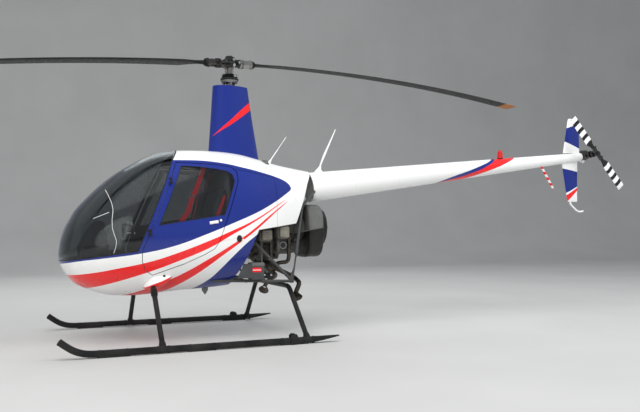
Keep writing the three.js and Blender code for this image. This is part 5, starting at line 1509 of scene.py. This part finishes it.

# The battery box, with a thin dark sheet on the port side between the cabin's tail and the box. The sheet is
# painted shade that stands for the dark gap in the bay.
case = joined("battery_case",
    [block("case", (0.092, -0.432, 0.5418), (0.206, -0.3, 0.664), 0.004),
        block("tray", (0.086, -0.436, 0.5418), (0.212, -0.296, 0.556), 0.002),
        plate("shade_sheet", [(-0.052, 0.557), (0.094, 0.557), (0.094, 0.69), (0.012, 0.69)], -0.43,
            -0.4285), rod("strap_bolt", (0.149, -0.438, 0.6), (0.149, -0.43, 0.6), 0.006, sides=6)])
hand_over(case, "frame_steel", dark_paint, "battery_box")
lid_paint = painted_metal("pale_box_paint", (0.12, 0.122, 0.125), (0.16, 0.16, 0.15), 0.45)
hand_over(block("battery_lid", (0.088, -0.436, 0.664), (0.21, -0.296, 0.698), 0.008, 3), "frame_steel",
    lid_paint)


def plain(name, colour):
    """Smooth paint or plastic with a faint change of gloss."""
    finish = Finish(name, colour, 0.4)
    finish.gloss(0.34, 0.5, 50)
    finish.grain(0.0002, 0.2, 350, 2)
    return finish.material


red_plate = plain("red_plate", RED)
white_plate = plain("white_plate", WHITE)
hand_over(block("battery_plate", (0.094, -0.4335, 0.612), (0.176, -0.4315, 0.652), 0.0006, 1), "paint_red",
    red_plate)
hand_over(block("battery_band", (0.094, -0.4342, 0.628), (0.176, -0.4332, 0.634), 0.0003, 1), "paint_white",
    white_plate)
print("exhaust and battery made")

# %% [markdown]
# The cooling fan
#
# A wheel on the engine's shaft blows air through a scroll, which hides the wheel except through the round
# mouth behind. The scroll is a sheet rolled through a list of rings, from its collar round the outside and in
# through the mouth again; some rings are round and some are squared. Its upper half is grey and its lower
# half black.

# %% Fan scroll
FAN_Z, FAN_HALF, FAN_LOW, FAN_HIGH = 1.02, 0.265, 0.729, 1.25
# Kind of ring, its distance aft, and its radius if round or how far it is drawn in if squared
SCROLL = [("round", 0.6205, 0.0), ("round", 0.6205, 0.103), ("round", 0.6225, 0.105), ("round", 0.724, 0.13),
    ("squared", 0.725, 0.024), ("squared", 0.728, 0.01), ("squared", 0.736, 0.002), ("squared", 0.746, 0.0),
    ("squared", 0.748, 0.0), ("squared", 0.749, -0.003), ("squared", 0.753, -0.003), ("squared", 0.754, 0.0),
    ("squared", 0.858, 0.0), ("squared", 0.868, 0.002), ("squared", 0.876, 0.01), ("squared", 0.879, 0.024),
    ("round", 0.879, 0.202), ("round", 0.883, 0.1965), ("round", 0.942, 0.187), ("round", 0.9475, 0.184),
    ("round", 0.948, 0.179), ("round", 0.946, 0.171), ("round", 0.938, 0.167), ("round", 0.864, 0.162),
    ("squared", 0.863, 0.04), ("squared", 0.86, 0.018), ("squared", 0.855, 0.016), ("squared", 0.752, 0.016),
    ("squared", 0.748, 0.022), ("round", 0.747, 0.06), ("round", 0.747, 0.0)]
SQUARENESS = 3.5


def scroll_point(u, v):
    kind, x, size = SCROLL[round(v * (len(SCROLL) - 1))]
    cos, sin = math.cos(2 * math.pi * u), math.sin(2 * math.pi * u)
    if kind == "round":
        return x, size * cos, FAN_Z + size * sin
    cos, sin = (math.copysign(abs(part) ** (2 / SQUARENESS), part) for part in (cos, sin))
    return x, (FAN_HALF - size) * cos, (FAN_LOW + FAN_HIGH) / 2 + ((FAN_HIGH - FAN_LOW) / 2 - size) * sin


def shroud_finish():
    """Glass fibre with a woven grain, grey over the flange's line and black under it."""
    finish = Finish("shroud_paint", (0.02, 0.02, 0.02), 0.5)
    over = above(finish, [(0.5, 0.952), (0.709, 0.989), (0.92, 1.025), (1.0, 1.039)])
    over = finish.math("MULTIPLY", over, finish.math("LESS_THAN", finish.axis("x"), 0.8785))
    dust = finish.spread(finish.noise(6, 5), 0, 1)
    grey = finish.blend(dust, (0.095, 0.1, 0.096), (0.135, 0.137, 0.13))
    finish.colour(finish.blend(over, finish.blend(dust, (0.006, 0.006, 0.0055), (0.015, 0.014, 0.012)), grey))
    finish.gloss(0.42, 0.62, 18)
    finish.grain(0.0008, 0.3, 90, 3)
    return finish.material


shroud_paint = shroud_finish()
LEDGE = [(0.553, 0.957), (0.709, 0.984), (0.92, 1.02), (0.92, 1.026), (0.709, 0.99), (0.553, 0.963)]
parts = [rolled("scroll", 96, len(SCROLL) - 1, scroll_point)]
for side in (-1, 1):
    low, high = sorted((side * 0.16, side * 0.271))
    parts.append(softened(plate("ledge", LEDGE, low, high), 0.0012))
    for number in range(6):
        x = 0.735 + 0.028 * number
        z = 0.99 + (x - 0.709) * 0.1706
        parts.append(rod("screw", (x, side * 0.268, z - 0.011), (x, side * 0.268, z + 0.004), 0.0035,
            sides=6))
for turn in range(12):
    angle = 2 * math.pi * turn / 12
    y, z = 0.19 * math.cos(angle), FAN_Z + 0.19 * math.sin(angle)
    parts.append(rod("mouth_bolt", (0.876, y * 1.13, FAN_Z + (z - FAN_Z) * 1.13),
        (0.884, y * 1.13, FAN_Z + (z - FAN_Z) * 1.13), 0.005, sides=6))
hand_over(joined("scroll_shell", parts), "shroud_composite", shroud_paint, "fan_scroll")

# %% Fan wheel
VANES = 18


def vane_outline(turn, inner=0.05, outer=0.19, lean=0.5, thick=0.0035, steps=6):
    """A vane that sweeps back from the hub, seen from behind."""
    front, back = [], []
    for step in range(steps + 1):
        t = step / steps
        radius, angle = inner + (outer - inner) * t, turn + lean * t * t
        out = Vector((math.cos(angle), math.sin(angle)))
        aside = Vector((-out.y, out.x)) * thick / 2
        middle = out * radius + Vector((0, FAN_Z))
        front.append(middle + aside)
        back.append(middle - aside)
    return [tuple(point) for point in front + back[::-1]]


wheel = [lathe("hub", [(0.7475, 0), (0.7475, 0.05), (0.76, 0.052), (0.84, 0.047), (0.848, 0.04), (0.849, 0)],
    (0, 0, FAN_Z), (1, 0, FAN_Z), 40),
    turned("nut", [(0.848, 0.02), (0.858, 0.02)], (0, 0, FAN_Z), (1, 0, FAN_Z), 6),
    turned("back_plate", [(0.7655, 0.194), (0.768, 0.196), (0.7745, 0.196), (0.7745, 0.08), (0.79, 0.056),
        (0.8, 0.05)], (0, 0, FAN_Z), (1, 0, FAN_Z), 72),
    lathe("front_ring", [(0.8405, 0.15), (0.8405, 0.194), (0.844, 0.195), (0.845, 0.19), (0.845, 0.154),
        (0.844, 0.15), (0.8405, 0.15)], (0, 0, FAN_Z), (1, 0, FAN_Z), 72)]
wheel += [plate("vane", vane_outline(2 * math.pi * number / VANES), 0.773, 0.842, "x")
    for number in range(VANES)]
hand_over(joined("fan_rotor", wheel), "bare_aluminium", dull_alloy, "fan_wheel", body="cooling_fan")
print("fan made")

# %% [markdown]
# Inside the cabin
#
# The floor, the bulkhead and the seat's base are cut from the cabin's own inner form, so they meet its walls.
# The seats are padded: each pad starts as a rounded form a little too small, and cloth simulation with
# pressure inside swells it. Rows of points that are held down during the simulation become the sewn channels.

# %% Cloth finishes
def woven(name, colour, pitch=900.0, sheen=0.25, roughness=0.8, spots=0.4):
    """Woven cloth: two crossed waves for the weave, with a soft sheen and slow changes of tone."""
    finish = Finish(name, colour, roughness, Sheen_Weight=sheen, Sheen_Roughness=0.4)
    along = finish.node("TexWave", {"Vector": finish.place, "Scale": pitch / 6},
        bands_direction="X").outputs["Fac"]
    rise = finish.node("TexWave", {"Vector": finish.place, "Scale": pitch / 6},
        bands_direction="Z").outputs["Fac"]
    weave = finish.math("MULTIPLY", along, rise)
    tone = finish.spread(finish.noise(5, 4), 0, spots)
    finish.colour(finish.blend(tone, colour, tuple(c * 1.6 for c in colour)))
    finish.bump(finish.math("ADD", weave, finish.noise(380, 2)), 0.0006, 0.4)
    return finish.material


def leathery(name, colour):
    """Soft leather: a fine cell grain, gloss that varies, and paler patches."""
    finish = Finish(name, colour, 0.5, Coat_Weight=0.08)
    cells = finish.node("TexVoronoi", {"Vector": finish.place, "Scale": 260.0}).outputs["Distance"]
    wear = finish.spread(finish.noise(4, 5), 0, 0.5)
    finish.colour(finish.blend(wear, colour, tuple(c * 1.7 for c in colour)))
    finish.gloss(0.42, 0.62, 14)
    finish.bump(cells, 0.0007, 0.35)
    return finish.material


carpet = woven("grey_carpet", (0.04, 0.042, 0.048), 500, 0.4, 0.95)
seat_cover = leathery("seat_leather", (0.03, 0.031, 0.036))
red_webbing = woven("red_webbing", (0.75, 0.02, 0.035), 1400, 0.2, 0.6, 0.2)

# %% Floor, bulkhead and seat base
FLOOR_TOP = 0.578
BULKHEAD = [(-0.346, 0.5785), (-0.186, 1.09), (-0.142, 1.24), (-0.142, 1.95)]
ROOM = body_form("room", SKIN + 0.009)
deck = carve(copy_of(ROOM, "deck"), block("cutter", (-1.48, -0.9, 0.56), (-0.15, 0.9, FLOOR_TOP), 0),
    "INTERSECT")
mats = [softened(plate("mat",
    rounded([(-1.4, side * 0.05), (-1.4, side * 0.3), (-1.2, side * 0.4), (-0.8, side * 0.42),
        (-0.8, side * 0.05)], 0.04), FLOOR_TOP - 0.001, FLOOR_TOP + 0.005, "z"), 0.002) for side in (-1, 1)]
mats = [carve(mat, body_form("cutter", SKIN + 0.016), "INTERSECT") for mat in mats]
hand_over(joined("deck", [deck] + mats), "carpet", carpet, "cabin_floor")
wall = carve(ROOM, across(BULKHEAD + [(x + 0.016, z) for x, z in reversed(BULKHEAD)]), "INTERSECT")
hand_over(wall, "carpet", carpet, "bulkhead")
SEAT_BASE = [(-0.757, 0.579), (-0.35, 0.579), (-0.29, 0.77), (-0.796, 0.799)]
base = carve(body_form("seat_box", SKIN + 0.014), plate("cutter", SEAT_BASE, -0.498, 0.498), "INTERSECT")
softened(base, 0.005, 2, 50)
hand_over(base, "carpet", carpet, "seat_base")
print("cabin lined")

# %% Padded seats
PAD_GRAIN = 0.007
PAD_REACH = 0.018
CUSHION = [(-0.795, 0.803), (-0.42, 0.782), (-0.404, 0.85), (-0.44, 0.862), (-0.755, 0.888), (-0.797, 0.868)]
BACK = [(-0.376, 0.784), (-0.287, 0.78), (-0.19, 1.09), (-0.157, 1.212), (-0.158, 1.362), (-0.198, 1.386),
    (-0.236, 1.335)]
PAD_OUTER, PAD_INNER = -0.456, -0.04
PAD_MIDDLE = (PAD_OUTER + PAD_INNER) / 2


def pad_form(name, outline):
    """A pad before it swells: the outline across its width, with rounded edges and an even mesh."""
    piece = softened(plate(name, outline, PAD_OUTER, PAD_INNER), 0.022, 4, 20)
    even = piece.modifiers.new("even", "REMESH")
    even.mode = "VOXEL"
    even.voxel_size = PAD_GRAIN
    settle(piece)
    return piece


def positions(piece):
    places = np.empty(len(piece.data.vertices) * 3)
    piece.data.vertices.foreach_get("co", places)
    return places.reshape(-1, 3)


def swollen(piece, held):
    """Swells a pad with cloth simulation. Points that held(place, normal) picks stay where they are."""
    start = positions(piece)
    pins = piece.vertex_groups.new(name="held")
    pins.add([vertex.index for vertex in piece.data.vertices if held(vertex.co, vertex.normal)], 1.0,
        "REPLACE")
    alone(piece)
    settings = piece.modifiers.new("cloth", "CLOTH").settings
    settings.quality = 4
    settings.use_pressure = True
    settings.uniform_pressure_force = 4
    settings.effector_weights.gravity = 0
    settings.vertex_group_mass = "held"
    for step in range(1, 21):
        bpy.context.scene.frame_set(step)
    bpy.ops.object.modifier_apply(modifier="cloth")
    bpy.context.scene.frame_set(1)
    moved = positions(piece) - start
    share = np.minimum(1, PAD_REACH / np.maximum(np.linalg.norm(moved, axis=1), 1e-6))
    piece.data.vertices.foreach_set("co", (start + moved * share[:, None]).ravel())
    piece.data.update()
    piece.modifiers.new("smooth", "SUBSURF").levels = 1
    settle(piece)
    return piece


def near_seam(place, along, seams):
    """Whether a point is near one of the lengthwise seams or near a cross seam, given as distances along."""
    return abs(abs(place.y - PAD_MIDDLE) - 0.118) < 0.004 or any(abs(along - seam) < 0.004 for seam in seams)


def cushion_held(place, normal):
    return normal.z < -0.5 or (normal.z > 0.6 and near_seam(place, place.x, (-0.69,)))


def back_held(place, normal):
    return normal.x > 0.5 or (normal.x < -0.6 and near_seam(place, place.z, (0.985, 1.185)))


for node, outline, held in (("seat_cushion", CUSHION, cushion_held), ("seat_back", BACK, back_held)):
    pad = swollen(pad_form(f"{node}_pad_left", outline), held)
    twin = hand_over_pair(pad, "seat_leather", seat_cover, node, angle=60)
print("seats padded")

# %% Harness
def strap(name, path, low, high, thick=0.0022, axis="y"):
    """A strap along a path seen along an axis, from low to high across it. It lies flat or on its edge."""
    points = bent_path(path, 0.02)
    front, back = [], []
    for number, point in enumerate(points):
        way = (points[min(number + 1, len(points) - 1)] - points[max(number - 1, 0)]).normalized()
        aside = Vector((-way.y, way.x)) * thick / 2
        front.append(tuple(point + aside))
        back.append(tuple(point - aside))
    return plate(name, front + back[::-1], low, high, axis)


hanging = strap("shoulder", [(-0.33, 1.612), (-0.36, 1.51), (-0.407, 1.377), (-0.442, 1.308),
    (-0.488, 1.158), (-0.545, 1.083), (-0.56, 1.0), (-0.598, 0.905)], -0.351, -0.3494, 0.042)
side_bit = strap("side_strap", [(-0.176, 1.31), (-0.205, 1.226), (-0.225, 1.18), (-0.3, 0.95)], -0.4645,
    -0.463, 0.026)
lap = strap("lap", [(-0.47, 0.815), (-0.462, 0.88), (-0.44, 0.902), (-0.36, 0.906), (-0.14, 0.904),
    (-0.06, 0.9), (-0.034, 0.88), (-0.026, 0.815)], -0.52, -0.476, axis="x")
laid = strap("shoulder", [(-0.15, 1.56), (-0.172, 1.42), (-0.214, 1.412), (-0.252, 1.35), (-0.3, 1.14),
    (-0.385, 0.93), (-0.42, 0.906), (-0.5, 0.908)], 0.21, 0.252)
lap_right = mirrored(lap, "lap_right")
hand_over(joined("harness_webbing", [hanging, side_bit, lap, laid, lap_right]), "seat_leather", red_webbing)
buckles = [block("buckle", (-0.535, -0.29, 0.9), (-0.47, -0.24, 0.918), 0.005, 3),
    block("buckle", (-0.535, 0.235, 0.9), (-0.47, 0.29, 0.918), 0.005, 3),
    block("tongue", (-0.622, -0.3525, 0.893), (-0.574, -0.348, 0.912), 0.0015),
    block("adjuster", (-0.47, -0.352, 1.3), (-0.418, -0.3485, 1.316), 0.0012),
    lathe("reel", [(0, 0), (0, 0.016), (0.01, 0.018), (0.024, 0.012), (0.03, 0)], (-0.122, -0.4, 1.368),
        (-0.022, -0.4, 1.368), 24), block("hook", (-0.118, -0.42, 1.32), (-0.11, -0.404, 1.4), 0.003)]
hand_over(joined("harness_metal", buckles), "bare_aluminium", bright_steel)

# %% Console, pedals and controls
PEDESTAL = [(-1.4, 0.579), (-1.1, 0.579), (-1.15, 0.82), (-1.19, 1.08), (-1.25, 1.1), (-1.33, 1.01),
    (-1.4, 0.86)]
console = softened(plate("console", rounded(PEDESTAL, 0.02, 4), -0.15, 0.15), 0.012, 3, 50)
carve(console, body_form("cutter", SKIN + 0.014), "INTERSECT")
panel_up = (Vector((-1.19, 0, 1.08)) - Vector((-1.15, 0, 0.82))).normalized()
panel_out = Vector((panel_up.z, 0, -panel_up.x))
dials, faces = [], []
for y in (-0.092, 0.0, 0.092):
    for rise in (0.06, 0.152, 0.222):
        radius = 0.036 if rise < 0.2 else 0.024
        place = Vector((-1.15, y, 0.82)) + panel_up * rise
        dials.append(lathe("bezel",
            [(0, radius - 0.004), (0, radius), (0.008, radius), (0.01, radius - 0.003),
                (0.01, radius - 0.006), (0.004, radius - 0.006), (0, radius - 0.004)], place,
            place + panel_out, 32))
        needle_way = Vector((0, 0.5, 0)) + panel_up * 0.8
        faces.append(rod("needle", place + panel_out * 0.005,
            place + panel_out * 0.005 + needle_way * radius * 0.7, 0.0012, sides=8))
        faces.append(rod("boss", place + panel_out * 0.002, place + panel_out * 0.007, 0.003, sides=12))
hand_over(joined("console", [console] + dials), "black_plastic", black_plastic, "instrument_console")
hand_over(joined("needles", faces), "paint_white", white_plate)

stick = [pipe("stick", [(-0.96, 0, 0.579), (-0.96, 0, 0.64), (-1.0, 0, 0.9), (-0.97, 0, 1.06)], 0.012, 0.1,
    5), rod("pivot", (-0.96, -0.03, 0.6), (-0.96, 0.03, 0.6), 0.016),
    turned("boot", [(0, 0.045), (0.006, 0.045), (0.012, 0.036), (0.02, 0.034), (0.026, 0.026),
        (0.034, 0.024), (0.04, 0.013)], (-0.96, 0, 0.579), (-0.96, 0, 1), 28),
    pipe("bar", [(-0.962, -0.3, 0.94), (-0.97, -0.3, 1.06), (-0.97, 0.3, 1.06), (-0.962, 0.3, 0.94)], 0.0095,
        0.03, 5), rod("bar_pivot", (-0.984, 0, 1.06), (-0.956, 0, 1.06), 0.02)]
hand_over(joined("cyclic_tubes", stick), "bare_aluminium", dull_alloy)
grips = []
for side in (-1, 1):
    grips.append(lathe("grip", [(0, 0), (0, 0.01), (0.006, 0.0145), (0.03, 0.0125), (0.052, 0.0145),
        (0.074, 0.0125), (0.1, 0.014), (0.112, 0.011), (0.114, 0)], (-0.961, side * 0.3, 0.936),
        (-0.969, side * 0.3, 1.052), 24))
hand_over(joined("cyclic_grips", grips), "black_plastic", black_rubber, "cyclic_stick")

controls = []
for y in (-0.488, 0.0):
    controls += [pipe("collective", [(-0.44, y, 0.776), (-0.52, y, 0.852), (-0.72, y, 0.93)], 0.009, 0.06,
        4), turned("throttle", [(0, 0.013), (0.01, 0.0155), (0.085, 0.0155), (0.095, 0.012)],
            (-0.7, y, 0.922), (-0.94, y, 1.016), 24)]
for side in (-1, 1):
    for y in (0.185, 0.3):
        controls += [pipe("pedal_arm",
            [(-1.3, side * y, FLOOR_TOP), (-1.335, side * y, 0.68), (-1.32, side * y, 0.735)], 0.008, 0.04,
            4), block("pedal", (-1.326, side * y - 0.034, 0.715), (-1.316, side * y + 0.034, 0.765), 0.004)]
hand_over(joined("collectives_and_pedals", controls), "black_plastic", black_plastic)

# A slim black tube inside the cabin, along the centre line under the windshield's crown.
crown_tube = pipe("dark_crown_tube",
    [(-1.262, 0, 1.096), (-1.243, 0, 1.143), (-1.144, 0, 1.289), (-1.026, 0, 1.413), (-0.894, 0, 1.527),
        (-0.747, 0, 1.612), (-0.573, 0, 1.68), (-0.52, 0, 1.7)], 0.0075, 0.05, 4)
knob = joined("stick_knob", [ball("knob", (-0.907, 0, 0.978), 0.011),
    rod("knob_arm", (-0.985, 0, 0.978), (-0.907, 0, 0.978), 0.004, sides=12)])
hand_over(crown_tube, "black_plastic", black_plastic)
hand_over(knob, "paint_white", white_plate)
print("controls made")

# %% [markdown]
# Fittings on the skin
#
# Hinges, handles and vents are placed by where they are seen from the side. The section's formula, turned
# round, gives the skin's depth there, and its slopes give the way that it faces.

# %% Seats for fittings
def skin_depth(x, z):
    """The port skin's y at a place seen from the side."""
    belly, crown, half, wide, over, under = section(x)
    share, power = ((z - wide) / (crown - wide), over) if z >= wide else ((wide - z) / (wide - belly), under)
    return -half * max(1 - abs(share) ** power, 0.0) ** (1 / power)


def skin_frame(x, z, turn=0.0):
    """A place on the port skin: its own x runs aft along the skin, raised by a turn, and -y points out."""
    step = 0.004
    aft = Vector((2 * step, skin_depth(x + step, z) - skin_depth(x - step, z), 0)).normalized()
    up = Vector((0, skin_depth(x, z + step) - skin_depth(x, z - step), 2 * step)).normalized()
    inward = up.cross(aft).normalized()
    basis = Matrix((aft, inward, aft.cross(inward))).transposed().to_4x4()
    return (Matrix.Translation((x, skin_depth(x, z), z)) @ basis
        @ Matrix.Rotation(-math.radians(turn), 4, "Y"))


def line_on_skin(points, steps=6, lift=0.0008):
    """A path drawn on the skin through places seen from the side."""
    path = []
    for (x, z), (far_x, far_z) in zip(points, points[1:]):
        for step in range(steps):
            t = step / steps
            px, pz = x + (far_x - x) * t, z + (far_z - z) * t
            path.append(Vector((px, skin_depth(px, pz) - lift, pz)))
    x, z = points[-1]
    return path + [Vector((x, skin_depth(x, z) - lift, z))]


# %% Door fittings, vents and caps
handle = joined("door_handle_left",
    [placed(block("plate", (-0.04, -0.003, -0.013), (0.04, 0.004, 0.013), 0.0015),
        skin_frame(-0.298, 1.069, 9)),
        placed(block("lever", (-0.034, -0.008, -0.007), (0.03, -0.002, 0.007), 0.003),
            skin_frame(-0.298, 1.069, 9)),
        placed(rod("lock", (0, -0.005, 0), (0, 0.004, 0), 0.0105), skin_frame(-0.237, 1.087))])
hand_over_pair(handle, "paint_white", white_plate, body="left_door")

HINGES = [Vector((-0.864, -0.577, 0.967)), Vector((-0.678, -0.527, 1.42))]
axis = (HINGES[1] - HINGES[0]).normalized()
aft = (Vector((1, 0, 0)) - axis * axis.x).normalized()
hinge_turn = Matrix((aft, axis.cross(aft), axis)).transposed().to_4x4()
door_leaves, post_leaves = [], []
for place in HINGES:
    spot = Matrix.Translation(place) @ hinge_turn
    door_leaves.append(placed(joined("door_leaf",
        [rod("knuckle", (0, 0, -0.013), (0, 0, 0.0128), 0.008),
            block("leaf", (-0.002, -0.003, -0.011), (0.024, 0.003, 0.011), 0.001)]), spot))
    post_leaves.append(placed(joined("post_leaf",
        [rod("knuckle", (0, 0, 0.0134), (0, 0, 0.039), 0.008),
            rod("pin_head", (0, 0, 0.039), (0, 0, 0.042), 0.005),
            block("leaf", (-0.026, -0.003, 0.0155), (0.002, 0.003, 0.037), 0.001)]), spot))
hinge_door = joined("door_hinges_left", door_leaves)
hinge_post = joined("post_hinges_left", post_leaves)
hinge_post_right = mirrored(hinge_post, "post_hinges_right")
hand_over_pair(hinge_door, "black_paint", black_paint, body="left_door")
hand_over(joined("post_hinges", [hinge_post, hinge_post_right]), "black_paint", black_paint)

oval = Matrix.Diagonal((0.76, 1, 1, 1))
# The oval vent is a flat black disc laid on the skin: painted shade in place of a dark opening.
dark = [placed(rod("vent", (0, -0.0025, 0), (0, 0.003, 0), 0.032, sides=40),
    skin_frame(-0.065, 0.922) @ oval), rod("drain", (-0.72, -0.466, 0.592), (-0.722, -0.484, 0.606), 0.011)]
hand_over(both_sides("skin_vents", dark), "black_plastic", black_rubber)
latch = placed(block("cover", (-0.01, -0.003, -0.007), (0.01, 0.003, 0.007), 0.001),
    skin_frame(-0.03, 0.91, 25))
hand_over(both_sides("vent_latch", [latch]), "paint_white", white_paint)

cap_place = Vector((0.294, -0.2, 0))
belly, crown, half, wide, over, under = section(cap_place.x)
cap_place.z = wide + (crown - wide) * (1 - (0.2 / half) ** over) ** (1 / over)
cap = turned("fuel_cap", [(-0.006, 0.04), (0.002, 0.04), (0.003, 0.031), (0.014, 0.03), (0.017, 0.026)],
    cap_place, cap_place + Vector((0.12, -0.42, 0.9)), 36)
hand_over(cap, "bare_aluminium", dull_alloy)

# %% Lines on the glass and small antennas
# Two thin white lines laid on the outside of the windshield's port pane.
PALE_LINE = [(-1.197, 1.357), (-1.179, 1.299), (-1.16, 1.237), (-1.152, 1.176), (-1.163, 1.091), (-1.162, 1.023),
    (-1.149, 0.972), (-1.129, 0.913), (-1.134, 0.863), (-1.15, 0.809)]
lines = [pipe("pale_line_long", line_on_skin(PALE_LINE, 3, 0.002), 0.0019, 0.01, 2),
    pipe("pale_line_short", line_on_skin([(-1.307, 1.104), (-1.245, 1.131), (-1.185, 1.156)], 4, 0.0022), 0.0022,
        0.01, 2)]
hand_over(joined("windshield_lines", lines), "paint_white", white_plate)

place, radius = boom_at(0.9)
AERIAL = [(0.84, place.z + 0.1), (0.985, place.z + 0.1), (0.975, 1.592), (0.96, 1.612), (0.962, 1.66),
    (1.0, 1.74), (1.128, 2.028), (1.122, 2.031), (0.985, 1.76), (0.94, 1.64), (0.9, 1.6)]
hand_over(softened(plate("aerial", AERIAL, -0.0065, 0.0065), 0.0025, 2, 20), "paint_white", white_paint,
    "antenna_blade")
BELLY_AERIAL = [(-0.277, 0.468), (-0.277, 0.43), (-0.25, 0.391), (-0.24, 0.391), (-0.216, 0.43),
    (-0.216, 0.466)]
hand_over(softened(plate("belly_aerial", BELLY_AERIAL, -0.0045, 0.0045), 0.0018, 2, 20), "black_plastic",
    plain("grey_plastic", (0.16, 0.16, 0.155)), "antenna_belly")
tail_lamp = joined("tail_lamp_body",
    [turned("lamp_body", [(-0.02, 0.02), (0, 0.022), (0.01, 0.022), (0.012, 0.019)], (4.362, 0, 1.802),
        (5, 0, 1.83), 28)])
hand_over(tail_lamp, "paint_white", white_plate)
print("fittings made")
